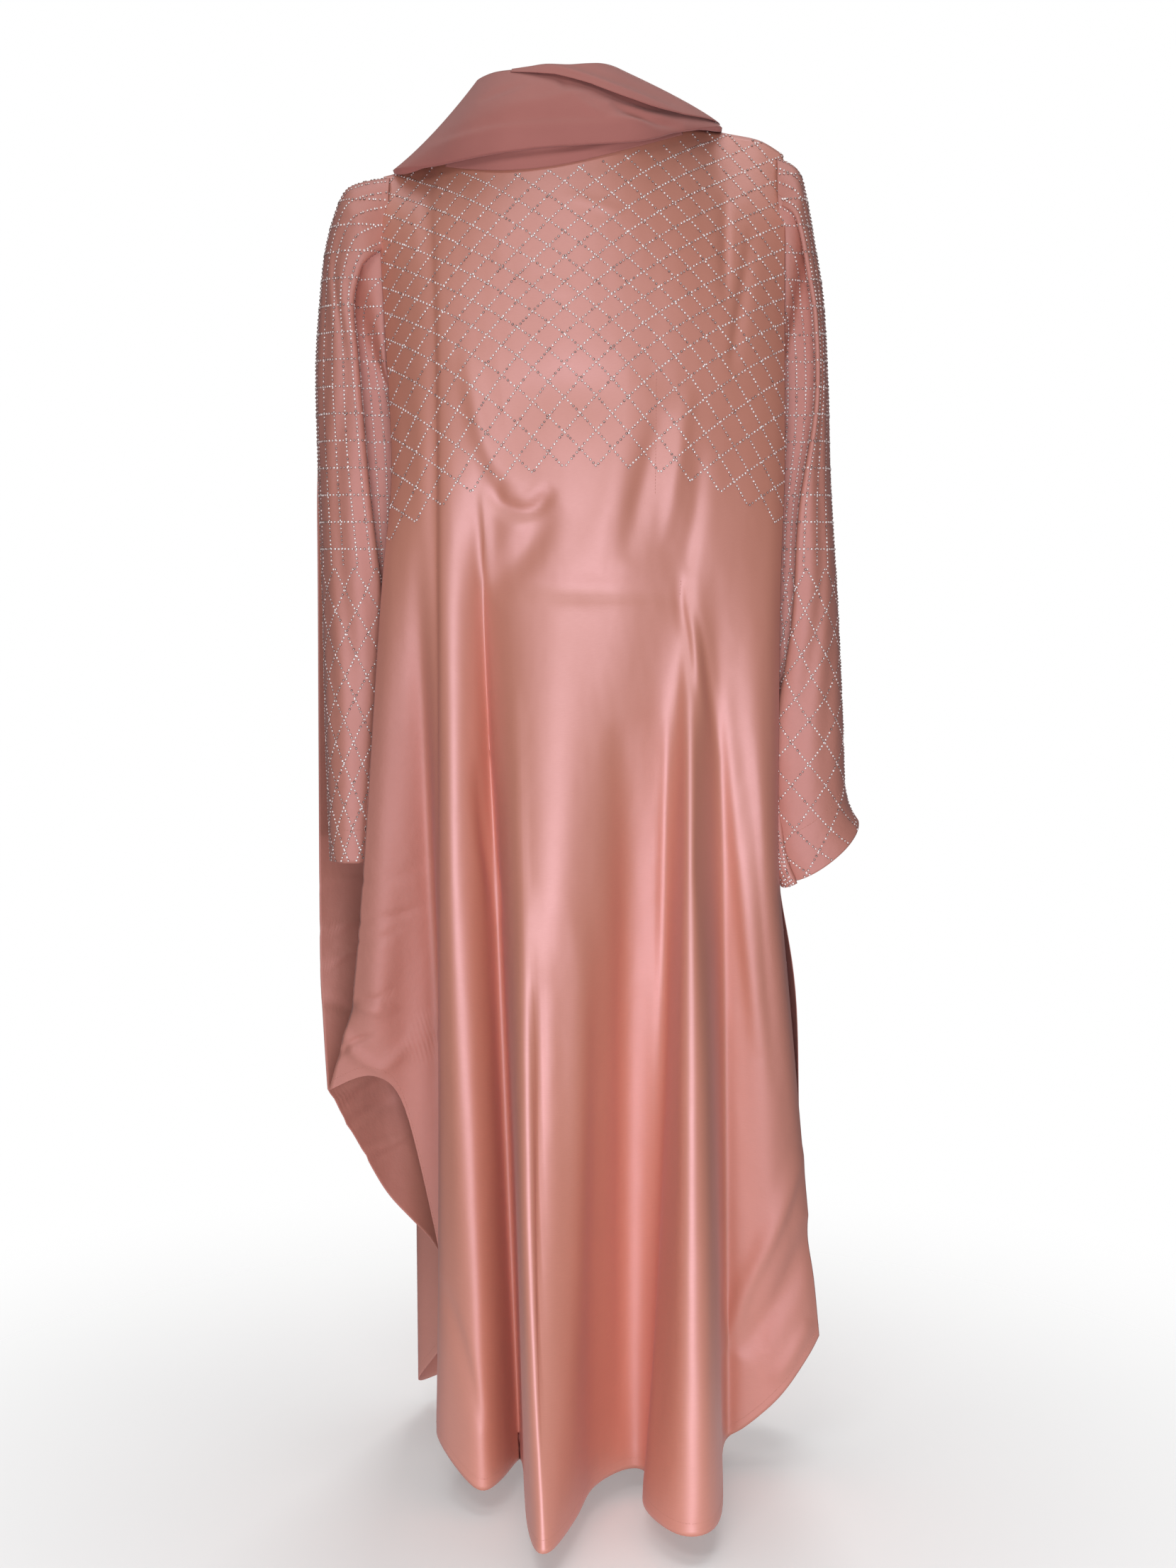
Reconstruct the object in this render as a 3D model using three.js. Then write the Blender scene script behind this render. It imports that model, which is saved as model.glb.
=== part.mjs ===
// A full-length abaya in dusty rose satin, worn open and hollow with no figure inside it.
// Millimetres. +Z is up, -Y is the front, and -X is the wearer's right.
// The origin is the middle of the shoulder line, where the wearer carries the garment.
//
// Each panel is a table of hanging lines: crests, valleys and edges that run from the shoulder
// to the hem. The cloth is a smooth surface through its lines, made into a wall of even thickness.
import * as THREE from "three";

const WALL = 2; // thickness of the modelled cloth
const LAP_GAP = 1.9; // clearance between two laps of the neck cloth
const SHOULDER_SEAM = 1.6; // step from the front panel's shoulder edge to the back panel's

// Heights of the body levels at which a hanging line is placed.
const LEVEL_HEIGHT = {
  yoke: -80,
  chest: -170,
  bust: -345,
  waist: -466,
  thigh: -760,
  side: -904,
  knee: -1100,
  hem: -1400,
};
// Rows of cloth made between each level and the next one, and columns between two lines.
const ROWS_BELOW = { top: 3, yoke: 2, chest: 3, bust: 3, waist: 4, thigh: 2, side: 2, knee: 4 };
const COLUMNS_EACH = 2;
const LEVELS = ["top", "yoke", "chest", "bust", "waist", "thigh", "side", "knee", "hem"];
const SOFTNESS = 0.3; // share of a level over which a line turns at it
const ROUNDING = 1e-6;

const ROSE_SATIN = new THREE.MeshStandardMaterial({ color: 0xc48a80, roughness: 0.38, metalness: 0 });
const MAUVE_CREPE = new THREE.MeshStandardMaterial({ color: 0xa06a68, roughness: 0.8, metalness: 0 });

// One hanging line a row: [x, y] at each level, and [x, y, z] at its top and its hem.
// A level left out, as null, lies straight between its neighbours.
const FRONT_LINES = [
  // name, top, yoke, chest, bust, waist,
  //   thigh, side, knee, hem
  ["right edge", [-213, 0, -28], [-213, -40], [-208, -46], [-196, -58], [-209, -60],
    [-228, -54], [-242, -32], null, [-271, -6, -1004]],
  ["right wing", [-205, 0, -26], [-204, -48], [-199, -56], [-188, -70], [-199, -72],
    [-210, -64], [-216, -46], null, [-216, -14, -986]],
  ["right tuck", [-194, 0, -23], [-191, -56], [-186, -70], [-174, -84], [-184, -82],
    [-186, -58], null, null, [-180, 20, -1068]],
  ["right valley", [-181, 0, -19], [-176, -64], [-171, -82], [-164, -94], [-168, -88],
    [-160, -44], null, null, [-130, 66, -1370]],
  ["right crest", [-166, -6, -16], [-161, -70], [-157, -92], [-152, -101], [-153, -98],
    [-152, -88], null, null, [-157, -12, -1364]],
  ["A crest", [-150, -30, -14], [-143, -82], [-139, -100], [-137, -110], [-132, -105],
    [-127, -104], null, null, [-112, -76, -1400]],
  ["A slope", [-128, -58, -18], [-121, -92], [-118, -106], [-118, -115], [-117, -100],
    [-106, -88], null, null, [-88, -60, -1400]],
  ["A-B valley", [-108, -76, -21], [-102, -99], [-100, -110], [-100, -118], [-104, -90],
    [-90, -60], null, null, [-64, 4, -1400]],
  ["B left", [-90, -86, -22], [-85, -104], [-83, -113], [-84, -121], [-95, -96],
    [-81, -98], null, null, [-54, -160, -1400]],
  ["B crest", [-68, -94, -22], [-62, -108], [-60, -116], [-58, -125], [-70, -110],
    [-62, -134], null, null, [-37, -232, -1400]],
  ["B right", [-38, -99, -20], [-32, -112], [-30, -119], [-26, -129], [-30, -120],
    [-26, -146], null, null, [-8, -150, -1400]],
  ["B slope", [-8, -100, -16], [-2, -114], [0, -120], [3, -130], [10, -122],
    [14, -130], null, null, [9, -74, -1400]],
  ["B-C valley", [20, -97, -9], [26, -112], [28, -118], [32, -129], [44, -120],
    [48, -106], null, null, [46, -26, -1400]],
  ["C tuck", [42, -90, -2], [48, -108], [52, -115], [58, -125], [76, -110],
    [82, -90], null, null, [70, -40, -1400]],
  ["C left", [62, -80, 3], [70, -102], [74, -111], [80, -121], [97, -100],
    [97, -106], null, null, [63, -122, -1400]],
  ["C crest", [80, -66, 9], [90, -95], [94, -107], [99, -117], [109, -97],
    [108, -130], null, null, [100, -190, -1400]],
  ["C right", [98, -48, 14], [110, -86], [114, -101], [117, -111], [119, -99],
    [120, -114], null, null, [138, -152, -1400]],
  ["C-D valley", [116, -27, 19], [130, -75], [134, -94], [136, -103], [134, -97],
    [140, -72], null, null, [150, 34, -1400]],
  ["D slope", [135, -4, 21], [151, -64], [154, -85], [156, -94], [152, -92],
    [160, -72], null, null, [174, 40, -1384]],
  ["D crest", [162, 0, 17], [173, -56], [178, -73], [180, -82], [176, -82],
    [183, -80], null, null, [213, 34, -1348]],
  ["left wing", [190, 0, 11], [194, -48], [199, -58], [200, -68], [195, -72],
    [198, -64], [212, -36], [228, 4], [243, 36, -1306]],
  ["left edge", [214, 0, -4], [213, -40], [211, -46], [211, -54], [205, -58],
    [204, -34], [219, -10], [238, 20], [257, 45, -1284]],
];

const S = SHOULDER_SEAM;
const BACK_LINES = [
  // name, top, yoke, chest, bust, waist,
  //   thigh, side, knee, hem
  ["right edge", [-213, S, -28], [-213, 60], [-284, 74], [-295, 84], [-294, 88],
    [-291, 78], [-286, 44], null, [-272, -1, -1004]],
  ["right outer", [-206, S, -26], [-204, 62], [-266, 80], [-278, 92], [-277, 98],
    [-270, 98], null, null, [-240, 16, -1068]],
  ["right wing", [-196, S, -23], [-193, 70], [-238, 87], [-250, 99], [-248, 106],
    [-240, 116], null, null, [-212, 34, -1125]],
  ["right slope", [-186, S, -20], [-180, 77], [-208, 93], [-214, 105], [-212, 112],
    [-206, 124], null, null, [-184, 52, -1162]],
  ["right fall", [-176, S, -17], [-166, 83], [-180, 98], [-183, 109], [-180, 116],
    [-176, 128], null, null, [-160, 84, -1202]],
  ["right valley", [-166, S, -15], [-150, 89], [-156, 102], [-158, 112], [-156, 118],
    [-152, 134], null, null, [-134, 132, -1290]],
  ["lobe inner", [-150, 32, -8], [-132, 94], [-134, 106], [-136, 115], [-136, 121],
    [-148, 154], [-156, 166], [-160, 172], [-162, 178, -1345]],
  ["lobe crest", [-128, 60, -3], [-112, 98], [-112, 109], [-113, 118], [-114, 126],
    [-146, 176], [-176, 194], [-196, 206], [-193, 214, -1398]],
  ["lobe outer", [-104, 80, 2], [-90, 102], [-90, 112], [-90, 121], [-92, 129],
    [-104, 182], null, null, [-148, 260, -1400]],
  ["first valley", [-76, 92, 6], [-66, 105], [-66, 114], [-66, 123], [-67, 125],
    [-74, 150], null, null, [-92, 190, -1396]],
  ["first crest", [-46, 98, 9], [-38, 107], [-38, 116], [-38, 125], [-38, 133],
    [-42, 180], null, null, [-48, 262, -1400]],
  ["second valley", [-16, 100, 11], [-10, 108], [-10, 117], [-10, 126], [-10, 127],
    [-8, 152], null, null, [-4, 194, -1400]],
  ["second crest", [14, 98, 13], [18, 107], [18, 116], [18, 125], [19, 133],
    [24, 182], null, null, [40, 268, -1400]],
  ["third valley", [44, 89, 16], [46, 103], [46, 113], [46, 122], [48, 124],
    [58, 148], null, null, [84, 188, -1398]],
  ["third crest", [74, 73, 18], [74, 99], [74, 110], [75, 120], [78, 130],
    [96, 176], null, null, [136, 248, -1390]],
  ["left valley", [102, 50, 20], [102, 93], [104, 105], [106, 115], [108, 118],
    [124, 134], null, null, [158, 158, -1372]],
  ["left outer", [122, 26, 21], [126, 86], [134, 98], [140, 108], [144, 114],
    [158, 138], null, null, [206, 172, -1350]],
  ["left crest", [135, S, 21], [150, 76], [166, 89], [176, 98], [182, 104],
    [186, 114], null, null, [240, 122, -1322]],
  ["left slope", [162, S, 17], [174, 66], [198, 80], [212, 89], [216, 92],
    [206, 88], [224, 80], [240, 72], [252, 82, -1300]],
  ["left wing", [190, S, 11], [196, 58], [226, 74], [242, 81], [240, 84],
    [206, 76], [229, 62], [236, 42], [251, 64, -1290]],
  ["left edge", [214, S, -4], [213, 58], [248, 68], [262, 75], [252, 78],
    [207, 64], [233, 46], [233, 27], [251, 52, -1284]],
];

// Sleeve sections from the armhole to the cuff: the outer and inner point of the arm in X and Z, half the
// depth from front to back, where the front fold lies across the arm, as a share from its inner point, the
// share of the depth that is lost behind that fold, and how far the middle hangs below the two points.
const RIGHT_SLEEVE = [
  // outX, outZ, inX, inZ, deep, fold, step, sag
  [-213.8, -27, -213.8, -232, 50, 0.65, 0.1, 0],
  [-237, -36, -215, -240, 55, 0.62, 0.25, 0],
  [-255, -49, -214, -250, 58, 0.61, 0.36, 0],
  [-271, -97, -212, -265, 59, 0.6, 0.42, 0],
  [-278, -152, -208, -290, 59, 0.52, 0.42, 0],
  [-283, -232, -200, -330, 58, 0.47, 0.42, 0],
  [-281, -330, -197, -400, 55, 0.4, 0.4, 0],
  [-276, -480, -205, -520, 50, 0.16, 0.36, 0],
  [-273, -620, -214, -640, 44, 0.12, 0.15, 0],
  [-268, -757, -222, -758, 36, 0.12, 0, 0],
];
const LEFT_SLEEVE = [
  [215, -6, 215, -232, 48, 0.8, 0.1, 0],
  [228, -21, 216, -240, 52, 0.8, 0.25, 0],
  [237, -50, 215, -250, 55, 0.82, 0.36, 0],
  [245, -95, 213, -270, 56, 0.85, 0.42, 0],
  [255, -160, 210, -300, 56, 0.86, 0.42, 0],
  [260, -250, 205, -345, 55, 0.82, 0.42, 0],
  [263, -350, 202, -420, 53, 0.52, 0.42, 0],
  [270, -470, 194, -520, 50, 0.38, 0.4, 0],
  [276, -600, 188, -640, 48, 0.16, 0.25, 2],
  [280, -685, 197, -735, 44, 0.12, 0.05, 10],
  [294, -716, 211, -771, 40, 0.12, 0, 19],
];
const FRONT_COLUMNS = 6; // columns of cloth on each side of a sleeve's fold
const BACK_COLUMNS = 10;
const SLEEVE_ROWS_EACH = 2;
const FOLD_LAP = 0.04; // how far the fold laps over the recess, as a share of the arm's width

// The draped neck cloth: one station a row, round from the wearer's right shoulder by the front.
const NECK_DRAPE = [
  // name, lower edge, belly, upper edge
  ["right shoulder", [-202, -2, -22], [-157, -4, 19], [-112, -4, 74]],
  ["right front", [-152, -62, -24], [-128, -76, 14], [-92, -44, 74]],
  ["front right", [-92, -108, -21], [-80, -110, 22], [-62, -68, 72]],
  ["front", [-40, -116, -16], [-30, -116, 26], [-30, -78, 72]],
  ["front left", [8, -116, -13], [10, -112, 28], [0, -68, 74]],
  ["left front", [60, -105, -7], [52, -96, 30], [22, -44, 78]],
  ["left neck", [106, -68, 10], [88, -58, 36], [34, -14, 82]],
  ["left shoulder", [148, -4, 23.5], [112, 0, 47], [34, 16, 87]],
  ["back left", [114, 62, 18], [84, 56, 48], [16, 50, 90]],
  ["back", [30, 113, -2], [20, 98, 46], [-22, 72, 92]],
  ["back right", [-72, 112, -8], [-64, 100, 40], [-68, 62, 88]],
  ["right back", [-154, 66, -20], [-124, 66, 28], [-100, 34, 80]],
];
const DRAPE_STEPS = 3; // columns between two stations
const DRAPE_ROWS = 6;
const STRETCH_ROWS = 3; // rows of the crossing and the under stretch
const STRETCH_STEPS = 2; // columns between two rows of the under stretch's table
// The upper stretch that crosses to the left shoulder: a station, and the share of the drape's
// height at which the stretch's lower edge lies there.
const CROSSING_STRETCH = [
  [1.67, 0.97],
  [3, 0.86],
  [4, 0.72],
  [5, 0.52],
  [6, 0.3],
  [7, 0.08],
];
// The under stretch that shows below the drape, over the neckline.
const UNDER_STRETCH = [
  // name, lower edge, upper edge
  ["right end", [-142, -55.2, -26], [-140, -58, -4]],
  ["right", [-120, -75.2, -32], [-118, -77, 0]],
  ["front right", [-89, -95.2, -37], [-88, -98, 2]],
  ["front", [-52, -104.2, -37], [-50, -107, 6]],
  ["front left", [-10, -106.2, -31], [-8, -107, 10]],
  ["left", [32, -101.2, -20], [32, -99, 14]],
  ["left end", [70, -83.2, -7], [70, -79, 20]],
  ["left neck", [104, -51.2, 8], [98, -49, 26]],
];

const lerp = (a, b, t) => a + (b - a) * t;

// A Catmull-Rom curve through numbers, read at a place counted in steps; a ring joins its ends.
function curveAt(values, place, ring = false) {
  const count = values.length;
  const start = ring ? Math.floor(place) : Math.min(count - 2, Math.floor(place));
  const t = place - start;
  const pick = (k) => (ring ? values[(k + count) % count] : values[Math.min(count - 1, Math.max(0, k))]);
  const [p0, p1, p2, p3] = [pick(start - 1), pick(start), pick(start + 1), pick(start + 2)];
  const a = 2 * p1;
  const b = p2 - p0;
  const c = 2 * p0 - 5 * p1 + 4 * p2 - p3;
  const d = 3 * p1 - p0 - 3 * p2 + p3;
  return (a + b * t + c * t * t + d * t * t * t) / 2;
}

// The same curve through points.
function pointAt(points, place, ring = false) {
  const read = (axis) => curveAt(points.map((p) => p.getComponent(axis)), place, ring);
  return new THREE.Vector3(read(0), read(1), read(2));
}

// A hanging line's point at every level, with the levels left out put straight between their neighbours.
function levelPoints(row) {
  const points = LEVELS.map((level, k) => {
    const given = row[k + 1];
    if (!given) return null;
    return new THREE.Vector3(given[0], given[1], given[2] ?? LEVEL_HEIGHT[level]);
  });
  const heightOf = (k) => LEVEL_HEIGHT[LEVELS[k]];
  points.forEach((point, k) => {
    if (point) return;
    const after = points.findIndex((p, m) => m > k && p);
    const share = (heightOf(k - 1) - heightOf(k)) / (heightOf(k - 1) - heightOf(after));
    points[k] = points[k - 1].clone().lerp(points[after], share);
  });
  return points;
}

// A line read at a level place: straight between its levels and softened where it turns.
function hangingPoint(points, place) {
  const last = points.length - 1;
  const reach = Math.min(SOFTNESS, place, last - place);
  const straight = (at) => {
    const k = Math.min(last - 1, Math.floor(at));
    return points[k].clone().lerp(points[k + 1], at - k);
  };
  const steps = [-1, -0.5, 0, 0.5, 1];
  const sum = new THREE.Vector3();
  for (const step of steps) sum.add(straight(place + step * reach));
  return sum.divideScalar(steps.length);
}

// A grid of points over a panel: rows from the shoulder to the hem, columns across its lines.
function panelGrid(lines) {
  const hanging = lines.map(levelPoints);
  const places = [];
  LEVELS.slice(0, -1).forEach((level, k) => {
    for (let n = 0; n < ROWS_BELOW[level]; n++) places.push(k + n / ROWS_BELOW[level]);
  });
  places.push(LEVELS.length - 1);
  return places.map((place) => {
    const across = hanging.map((points) => hangingPoint(points, place));
    const columns = (lines.length - 1) * COLUMNS_EACH;
    return Array.from({ length: columns + 1 }, (_, i) => pointAt(across, i / COLUMNS_EACH));
  });
}

// The outward direction of a grid at each of its points, from its neighbours, where its columns run
// from the wearer's right by the front to the left.
function gridNormals(grid, ring) {
  const rows = grid.length;
  const columns = grid[0].length;
  const wrap = (i) => (ring ? (i + columns) % columns : Math.min(columns - 1, Math.max(0, i)));
  return grid.map((row, j) =>
    row.map((_, i) => {
      const along = row[wrap(i + 1)].clone().sub(row[wrap(i - 1)]);
      const down = grid[Math.min(rows - 1, j + 1)][i].clone().sub(grid[Math.max(0, j - 1)][i]);
      return down.cross(along).normalize();
    }),
  );
}

// Moves a grid along its outward direction.
function movedOut(grid, distance, ring = false) {
  const normals = gridNormals(grid, ring);
  return grid.map((row, j) => row.map((p, i) => p.clone().addScaledVector(normals[j][i], distance)));
}

// A closed wall of cloth: the grid is its inner face, and the outer face lies one wall beyond it.
function clothWall(grid, { ring = false, outwards = 1 } = {}) {
  const outer = movedOut(grid, WALL * outwards, ring);
  const rows = grid.length;
  const columns = grid[0].length;
  const positions = [...grid.flat(), ...outer.flat()].flatMap((p) => [p.x, p.y, p.z]);
  const faces = [];
  const innerAt = (j, i) => j * columns + ((i + columns) % columns);
  const outerAt = (j, i) => rows * columns + innerAt(j, i);
  const quad = (a, b, c, d) => faces.push(...(outwards > 0 ? [a, c, b, a, d, c] : [a, b, c, a, c, d]));
  const spans = ring ? columns : columns - 1;
  for (let i = 0; i < spans; i++) {
    for (let j = 0; j < rows - 1; j++) {
      quad(innerAt(j, i), innerAt(j + 1, i), innerAt(j + 1, i + 1), innerAt(j, i + 1));
      quad(outerAt(j, i), outerAt(j, i + 1), outerAt(j + 1, i + 1), outerAt(j + 1, i));
    }
    quad(innerAt(0, i), innerAt(0, i + 1), outerAt(0, i + 1), outerAt(0, i));
    const end = rows - 1;
    quad(innerAt(end, i), outerAt(end, i), outerAt(end, i + 1), innerAt(end, i + 1));
  }
  for (let j = 0; j < rows - 1 && !ring; j++) {
    const end = columns - 1;
    quad(innerAt(j, 0), outerAt(j, 0), outerAt(j + 1, 0), innerAt(j + 1, 0));
    quad(innerAt(j, end), innerAt(j + 1, end), outerAt(j + 1, end), outerAt(j, end));
  }
  const geometry = new THREE.BufferGeometry();
  geometry.setAttribute("position", new THREE.Float32BufferAttribute(positions, 3));
  geometry.setIndex(faces);
  geometry.computeVertexNormals();
  return geometry;
}

function named(name, geometry, material) {
  const mesh = new THREE.Mesh(geometry, material);
  mesh.name = name;
  return mesh;
}

// A sleeve: rings of cloth round the arm, with the front stepped back on the body's side of its fold.
function sleeveGrid(sections) {
  const columns = sections[0].map((_, k) => sections.map((row) => row[k]));
  const [outX, outZ, inX, inZ, deep, fold, step, sag] = columns;
  const rows = (sections.length - 1) * SLEEVE_ROWS_EACH;
  const quarter = Math.PI / 2;
  return Array.from({ length: rows + 1 }, (_, j) => {
    const at = (values) => curveAt(values, j / SLEEVE_ROWS_EACH);
    const outer = new THREE.Vector3(at(outX), 0, at(outZ));
    const inner = new THREE.Vector3(at(inX), 0, at(inZ));
    const around = (across, depth) => {
      const bulge = Math.sqrt(Math.max(0, 4 * across * (1 - across)));
      const p = inner.clone().lerp(outer, across);
      p.y = at(deep) * depth * bulge;
      p.z -= at(sag) * bulge;
      return p;
    };
    const ring = [];
    for (let n = 0; n <= FRONT_COLUMNS; n++) {
      const across = (at(fold) + FOLD_LAP / 2) * (1 - Math.cos((n / FRONT_COLUMNS) * quarter));
      ring.push(around(across, at(step) - 1));
    }
    for (let n = 0; n < FRONT_COLUMNS; n++) {
      const first = at(fold) - FOLD_LAP / 2;
      ring.push(around(first + (1 - first) * Math.sin((n / FRONT_COLUMNS) * quarter), -1));
    }
    for (let n = 0; n < BACK_COLUMNS; n++) {
      ring.push(around((1 + Math.cos((n / BACK_COLUMNS) * Math.PI)) / 2, 1));
    }
    return ring;
  });
}

// The neck cloth's surface, read at a place round the neck, counted in stations, and a share of its
// height: a curve from the lower edge to the upper edge that passes through the belly point.
function drapePoint(place, height) {
  const stations = NECK_DRAPE.map(([, lower, belly, upper]) => {
    const [a, b, c] = [lower, belly, upper].map((p) => new THREE.Vector3(...p));
    const first = a.clone().lerp(b, height);
    const second = b.clone().lerp(c, height);
    const through = first.lerp(second, height);
    const bow = b.clone().sub(a.clone().lerp(c, 0.5)).multiplyScalar(2 * height * (1 - height));
    return through.add(bow);
  });
  return pointAt(stations, place, true);
}

function drapeGrid() {
  const columns = NECK_DRAPE.length * DRAPE_STEPS;
  return Array.from({ length: DRAPE_ROWS + 1 }, (_, j) =>
    Array.from({ length: columns }, (_, i) => drapePoint(i / DRAPE_STEPS, 1 - j / DRAPE_ROWS)),
  );
}

// The crossing stretch lies on the drape: its points, moved out by one wall and the lap's clearance.
function crossingGrid() {
  const [first, last] = [CROSSING_STRETCH[0][0], CROSSING_STRETCH.at(-1)[0]];
  const columns = Math.round((last - first) * DRAPE_STEPS);
  const grid = Array.from({ length: STRETCH_ROWS + 1 }, (_, j) =>
    Array.from({ length: columns + 1 }, (_, i) => {
      const station = first + i / DRAPE_STEPS;
      const after = Math.max(1, CROSSING_STRETCH.findIndex(([at]) => at >= station - ROUNDING));
      const [[fromAt, fromHeight], [toAt, toHeight]] = CROSSING_STRETCH.slice(after - 1, after + 1);
      const lowest = lerp(fromHeight, toHeight, (station - fromAt) / (toAt - fromAt));
      return drapePoint(station, lerp(1, lowest, j / STRETCH_ROWS));
    }),
  );
  return movedOut(grid, WALL + LAP_GAP);
}

function underGrid() {
  const [lower, upper] = [1, 2].map((k) => UNDER_STRETCH.map((row) => new THREE.Vector3(...row[k])));
  const columns = (UNDER_STRETCH.length - 1) * STRETCH_STEPS;
  return Array.from({ length: STRETCH_ROWS + 1 }, (_, j) =>
    Array.from({ length: columns + 1 }, (_, i) => {
      const place = i / STRETCH_STEPS;
      return pointAt(upper, place).lerp(pointAt(lower, place), j / STRETCH_ROWS);
    }),
  );
}

const rightSleeve = clothWall(sleeveGrid(RIGHT_SLEEVE), { ring: true, outwards: -1 });
const leftSleeve = clothWall(sleeveGrid(LEFT_SLEEVE), { ring: true });

const abaya = new THREE.Group();
abaya.add(named("front_panel", clothWall(panelGrid(FRONT_LINES)), ROSE_SATIN));
abaya.add(named("back_panel", clothWall(panelGrid(BACK_LINES), { outwards: -1 }), ROSE_SATIN));
abaya.add(named("sleeve_right", rightSleeve, ROSE_SATIN));
abaya.add(named("sleeve_left", leftSleeve, ROSE_SATIN));
abaya.add(named("neck_drape", clothWall(drapeGrid(), { ring: true }), MAUVE_CREPE));
abaya.add(named("neck_crossing", clothWall(crossingGrid()), MAUVE_CREPE));
abaya.add(named("neck_under", clothWall(underGrid()), MAUVE_CREPE));

export default abaya;
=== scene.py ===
import bpy
import numpy as np
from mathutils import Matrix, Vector


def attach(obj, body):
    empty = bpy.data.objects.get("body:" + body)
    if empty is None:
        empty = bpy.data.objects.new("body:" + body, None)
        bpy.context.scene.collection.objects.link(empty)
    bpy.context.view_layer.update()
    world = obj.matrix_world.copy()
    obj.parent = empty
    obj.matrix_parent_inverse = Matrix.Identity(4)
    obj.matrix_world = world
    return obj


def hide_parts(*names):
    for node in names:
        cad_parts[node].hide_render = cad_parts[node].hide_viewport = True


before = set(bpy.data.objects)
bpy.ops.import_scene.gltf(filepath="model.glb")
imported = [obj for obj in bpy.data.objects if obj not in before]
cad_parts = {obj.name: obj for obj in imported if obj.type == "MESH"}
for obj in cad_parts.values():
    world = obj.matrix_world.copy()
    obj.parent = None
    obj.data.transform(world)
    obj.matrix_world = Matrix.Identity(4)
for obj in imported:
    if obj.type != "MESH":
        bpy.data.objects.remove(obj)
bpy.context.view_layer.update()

MM = 0.001

# The front panel
# One flared piece of dusty rose satin, sewn to the back at the shoulders. Its side edges hang free in
# front of the sleeves down to the waist and beyond, and below that it is joined to the back and makes
# the front of both side wings. Each row of the table is one hanging line of the cloth: x, y (and z) at
# the shoulder, yoke, chest, bust, waist, thigh, side, knee and hem, in millimetres. z is given where it
# isn't the level's own. A row of seven has no side and knee.
LEVEL_HEIGHTS = np.array([0, -80, -170, -345, -466, -760, -904, -1100, -1400.0])
FRONT_LINES = [
    [[-213, 0, -28], [-213, -40], [-208, -46], [-196, -58], [-209, -60],
     [-228, -54], [-242, -32], None, [-271, -6, -1004]],
    [[-205, 0, -26], [-204, -48], [-199, -56], [-188, -70], [-199, -72],
     [-210, -64], [-216, -46], None, [-216, -14, -986]],
    [[-194, 0, -23], [-191, -56], [-186, -70], [-174, -84], [-184, -82], [-186, -58], [-180, 20, -1068]],
    [[-181, 0, -19], [-176, -64], [-171, -82], [-164, -94], [-168, -88], [-160, -44], [-130, 66, -1370]],
    [[-166, -6, -16], [-161, -70], [-157, -92], [-152, -101], [-153, -98], [-152, -88], [-157, -12, -1364]],
    [[-150, -30, -14], [-143, -82], [-139, -100], [-137, -110], [-132, -105], [-127, -104], [-112, -76]],
    [[-128, -58, -18], [-121, -92], [-118, -106], [-118, -115], [-117, -100], [-106, -88], [-88, -60]],
    [[-108, -76, -21], [-102, -99], [-100, -110], [-100, -118], [-104, -90], [-90, -60], [-64, 4]],
    [[-90, -86, -22], [-85, -104], [-83, -113], [-84, -121], [-95, -96], [-81, -98], [-54, -160]],
    [[-68, -94, -22], [-62, -108], [-60, -116], [-58, -125], [-70, -110], [-62, -134], [-37, -232]],
    [[-38, -99, -20], [-32, -112], [-30, -119], [-26, -129], [-30, -120], [-26, -146], [-8, -150]],
    [[-8, -100, -16], [-2, -114], [0, -120], [3, -130], [10, -122], [14, -130], [9, -74]],
    [[20, -97, -9], [26, -112], [28, -118], [32, -129], [44, -120], [48, -106], [46, -26]],
    [[42, -90, -2], [48, -108], [52, -115], [58, -125], [76, -110], [82, -90], [70, -40]],
    [[62, -80, 3], [70, -102], [74, -111], [80, -121], [97, -100], [97, -106], [63, -122]],
    [[80, -66, 9], [90, -95], [94, -107], [99, -117], [109, -97], [108, -130], [100, -190]],
    [[98, -48, 14], [110, -86], [114, -101], [117, -111], [119, -99], [120, -114], [138, -152]],
    [[116, -27, 19], [130, -75], [134, -94], [136, -103], [134, -97], [140, -72], [150, 34]],
    [[135, -4, 21], [151, -64], [154, -85], [156, -94], [152, -92], [160, -72], [174, 40, -1384]],
    [[162, 0, 17], [173, -56], [178, -73], [180, -82], [176, -82], [183, -80], [213, 34, -1348]],
    [[190, 0, 11], [194, -48], [199, -58], [200, -68], [195, -72],
     [198, -64], [212, -36], [228, 4], [243, 36, -1306]],
    [[214, 0, -4], [213, -40], [211, -46], [211, -54], [205, -58],
     [204, -34], [219, -10], [238, 20], [257, 45, -1284]],
]
FRONT_COLUMNS = 188
PANEL_ROWS = [18, 14, 28, 26, 42, 22, 30, 68]  # rows of cloth from each level to the next
FALL_SOFTNESS = 0.6  # share of a level over which a line turns at it
PANEL_SOFTENED = 6  # times that each row is softened
SATIN_THICK = 0.7 * MM
WALL = 2 * MM  # the solid's wall, whose outer face the cloth follows


def hanging_lines(table):
    """Lines by levels by x, y, z in metres; a level left out lies straight between its neighbours."""
    lines = []
    for row in table:
        row = row[:6] + [None, None] + row[6:] if len(row) == 7 else row
        given = [k for k, point in enumerate(row) if point]
        points = np.array([[*row[k], LEVEL_HEIGHTS[k]][:3] for k in given])
        depth = -LEVEL_HEIGHTS
        lines.append([np.interp(depth, depth[given], points[:, axis]) for axis in range(3)])
    return np.array(lines).transpose(0, 2, 1) * MM


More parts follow.
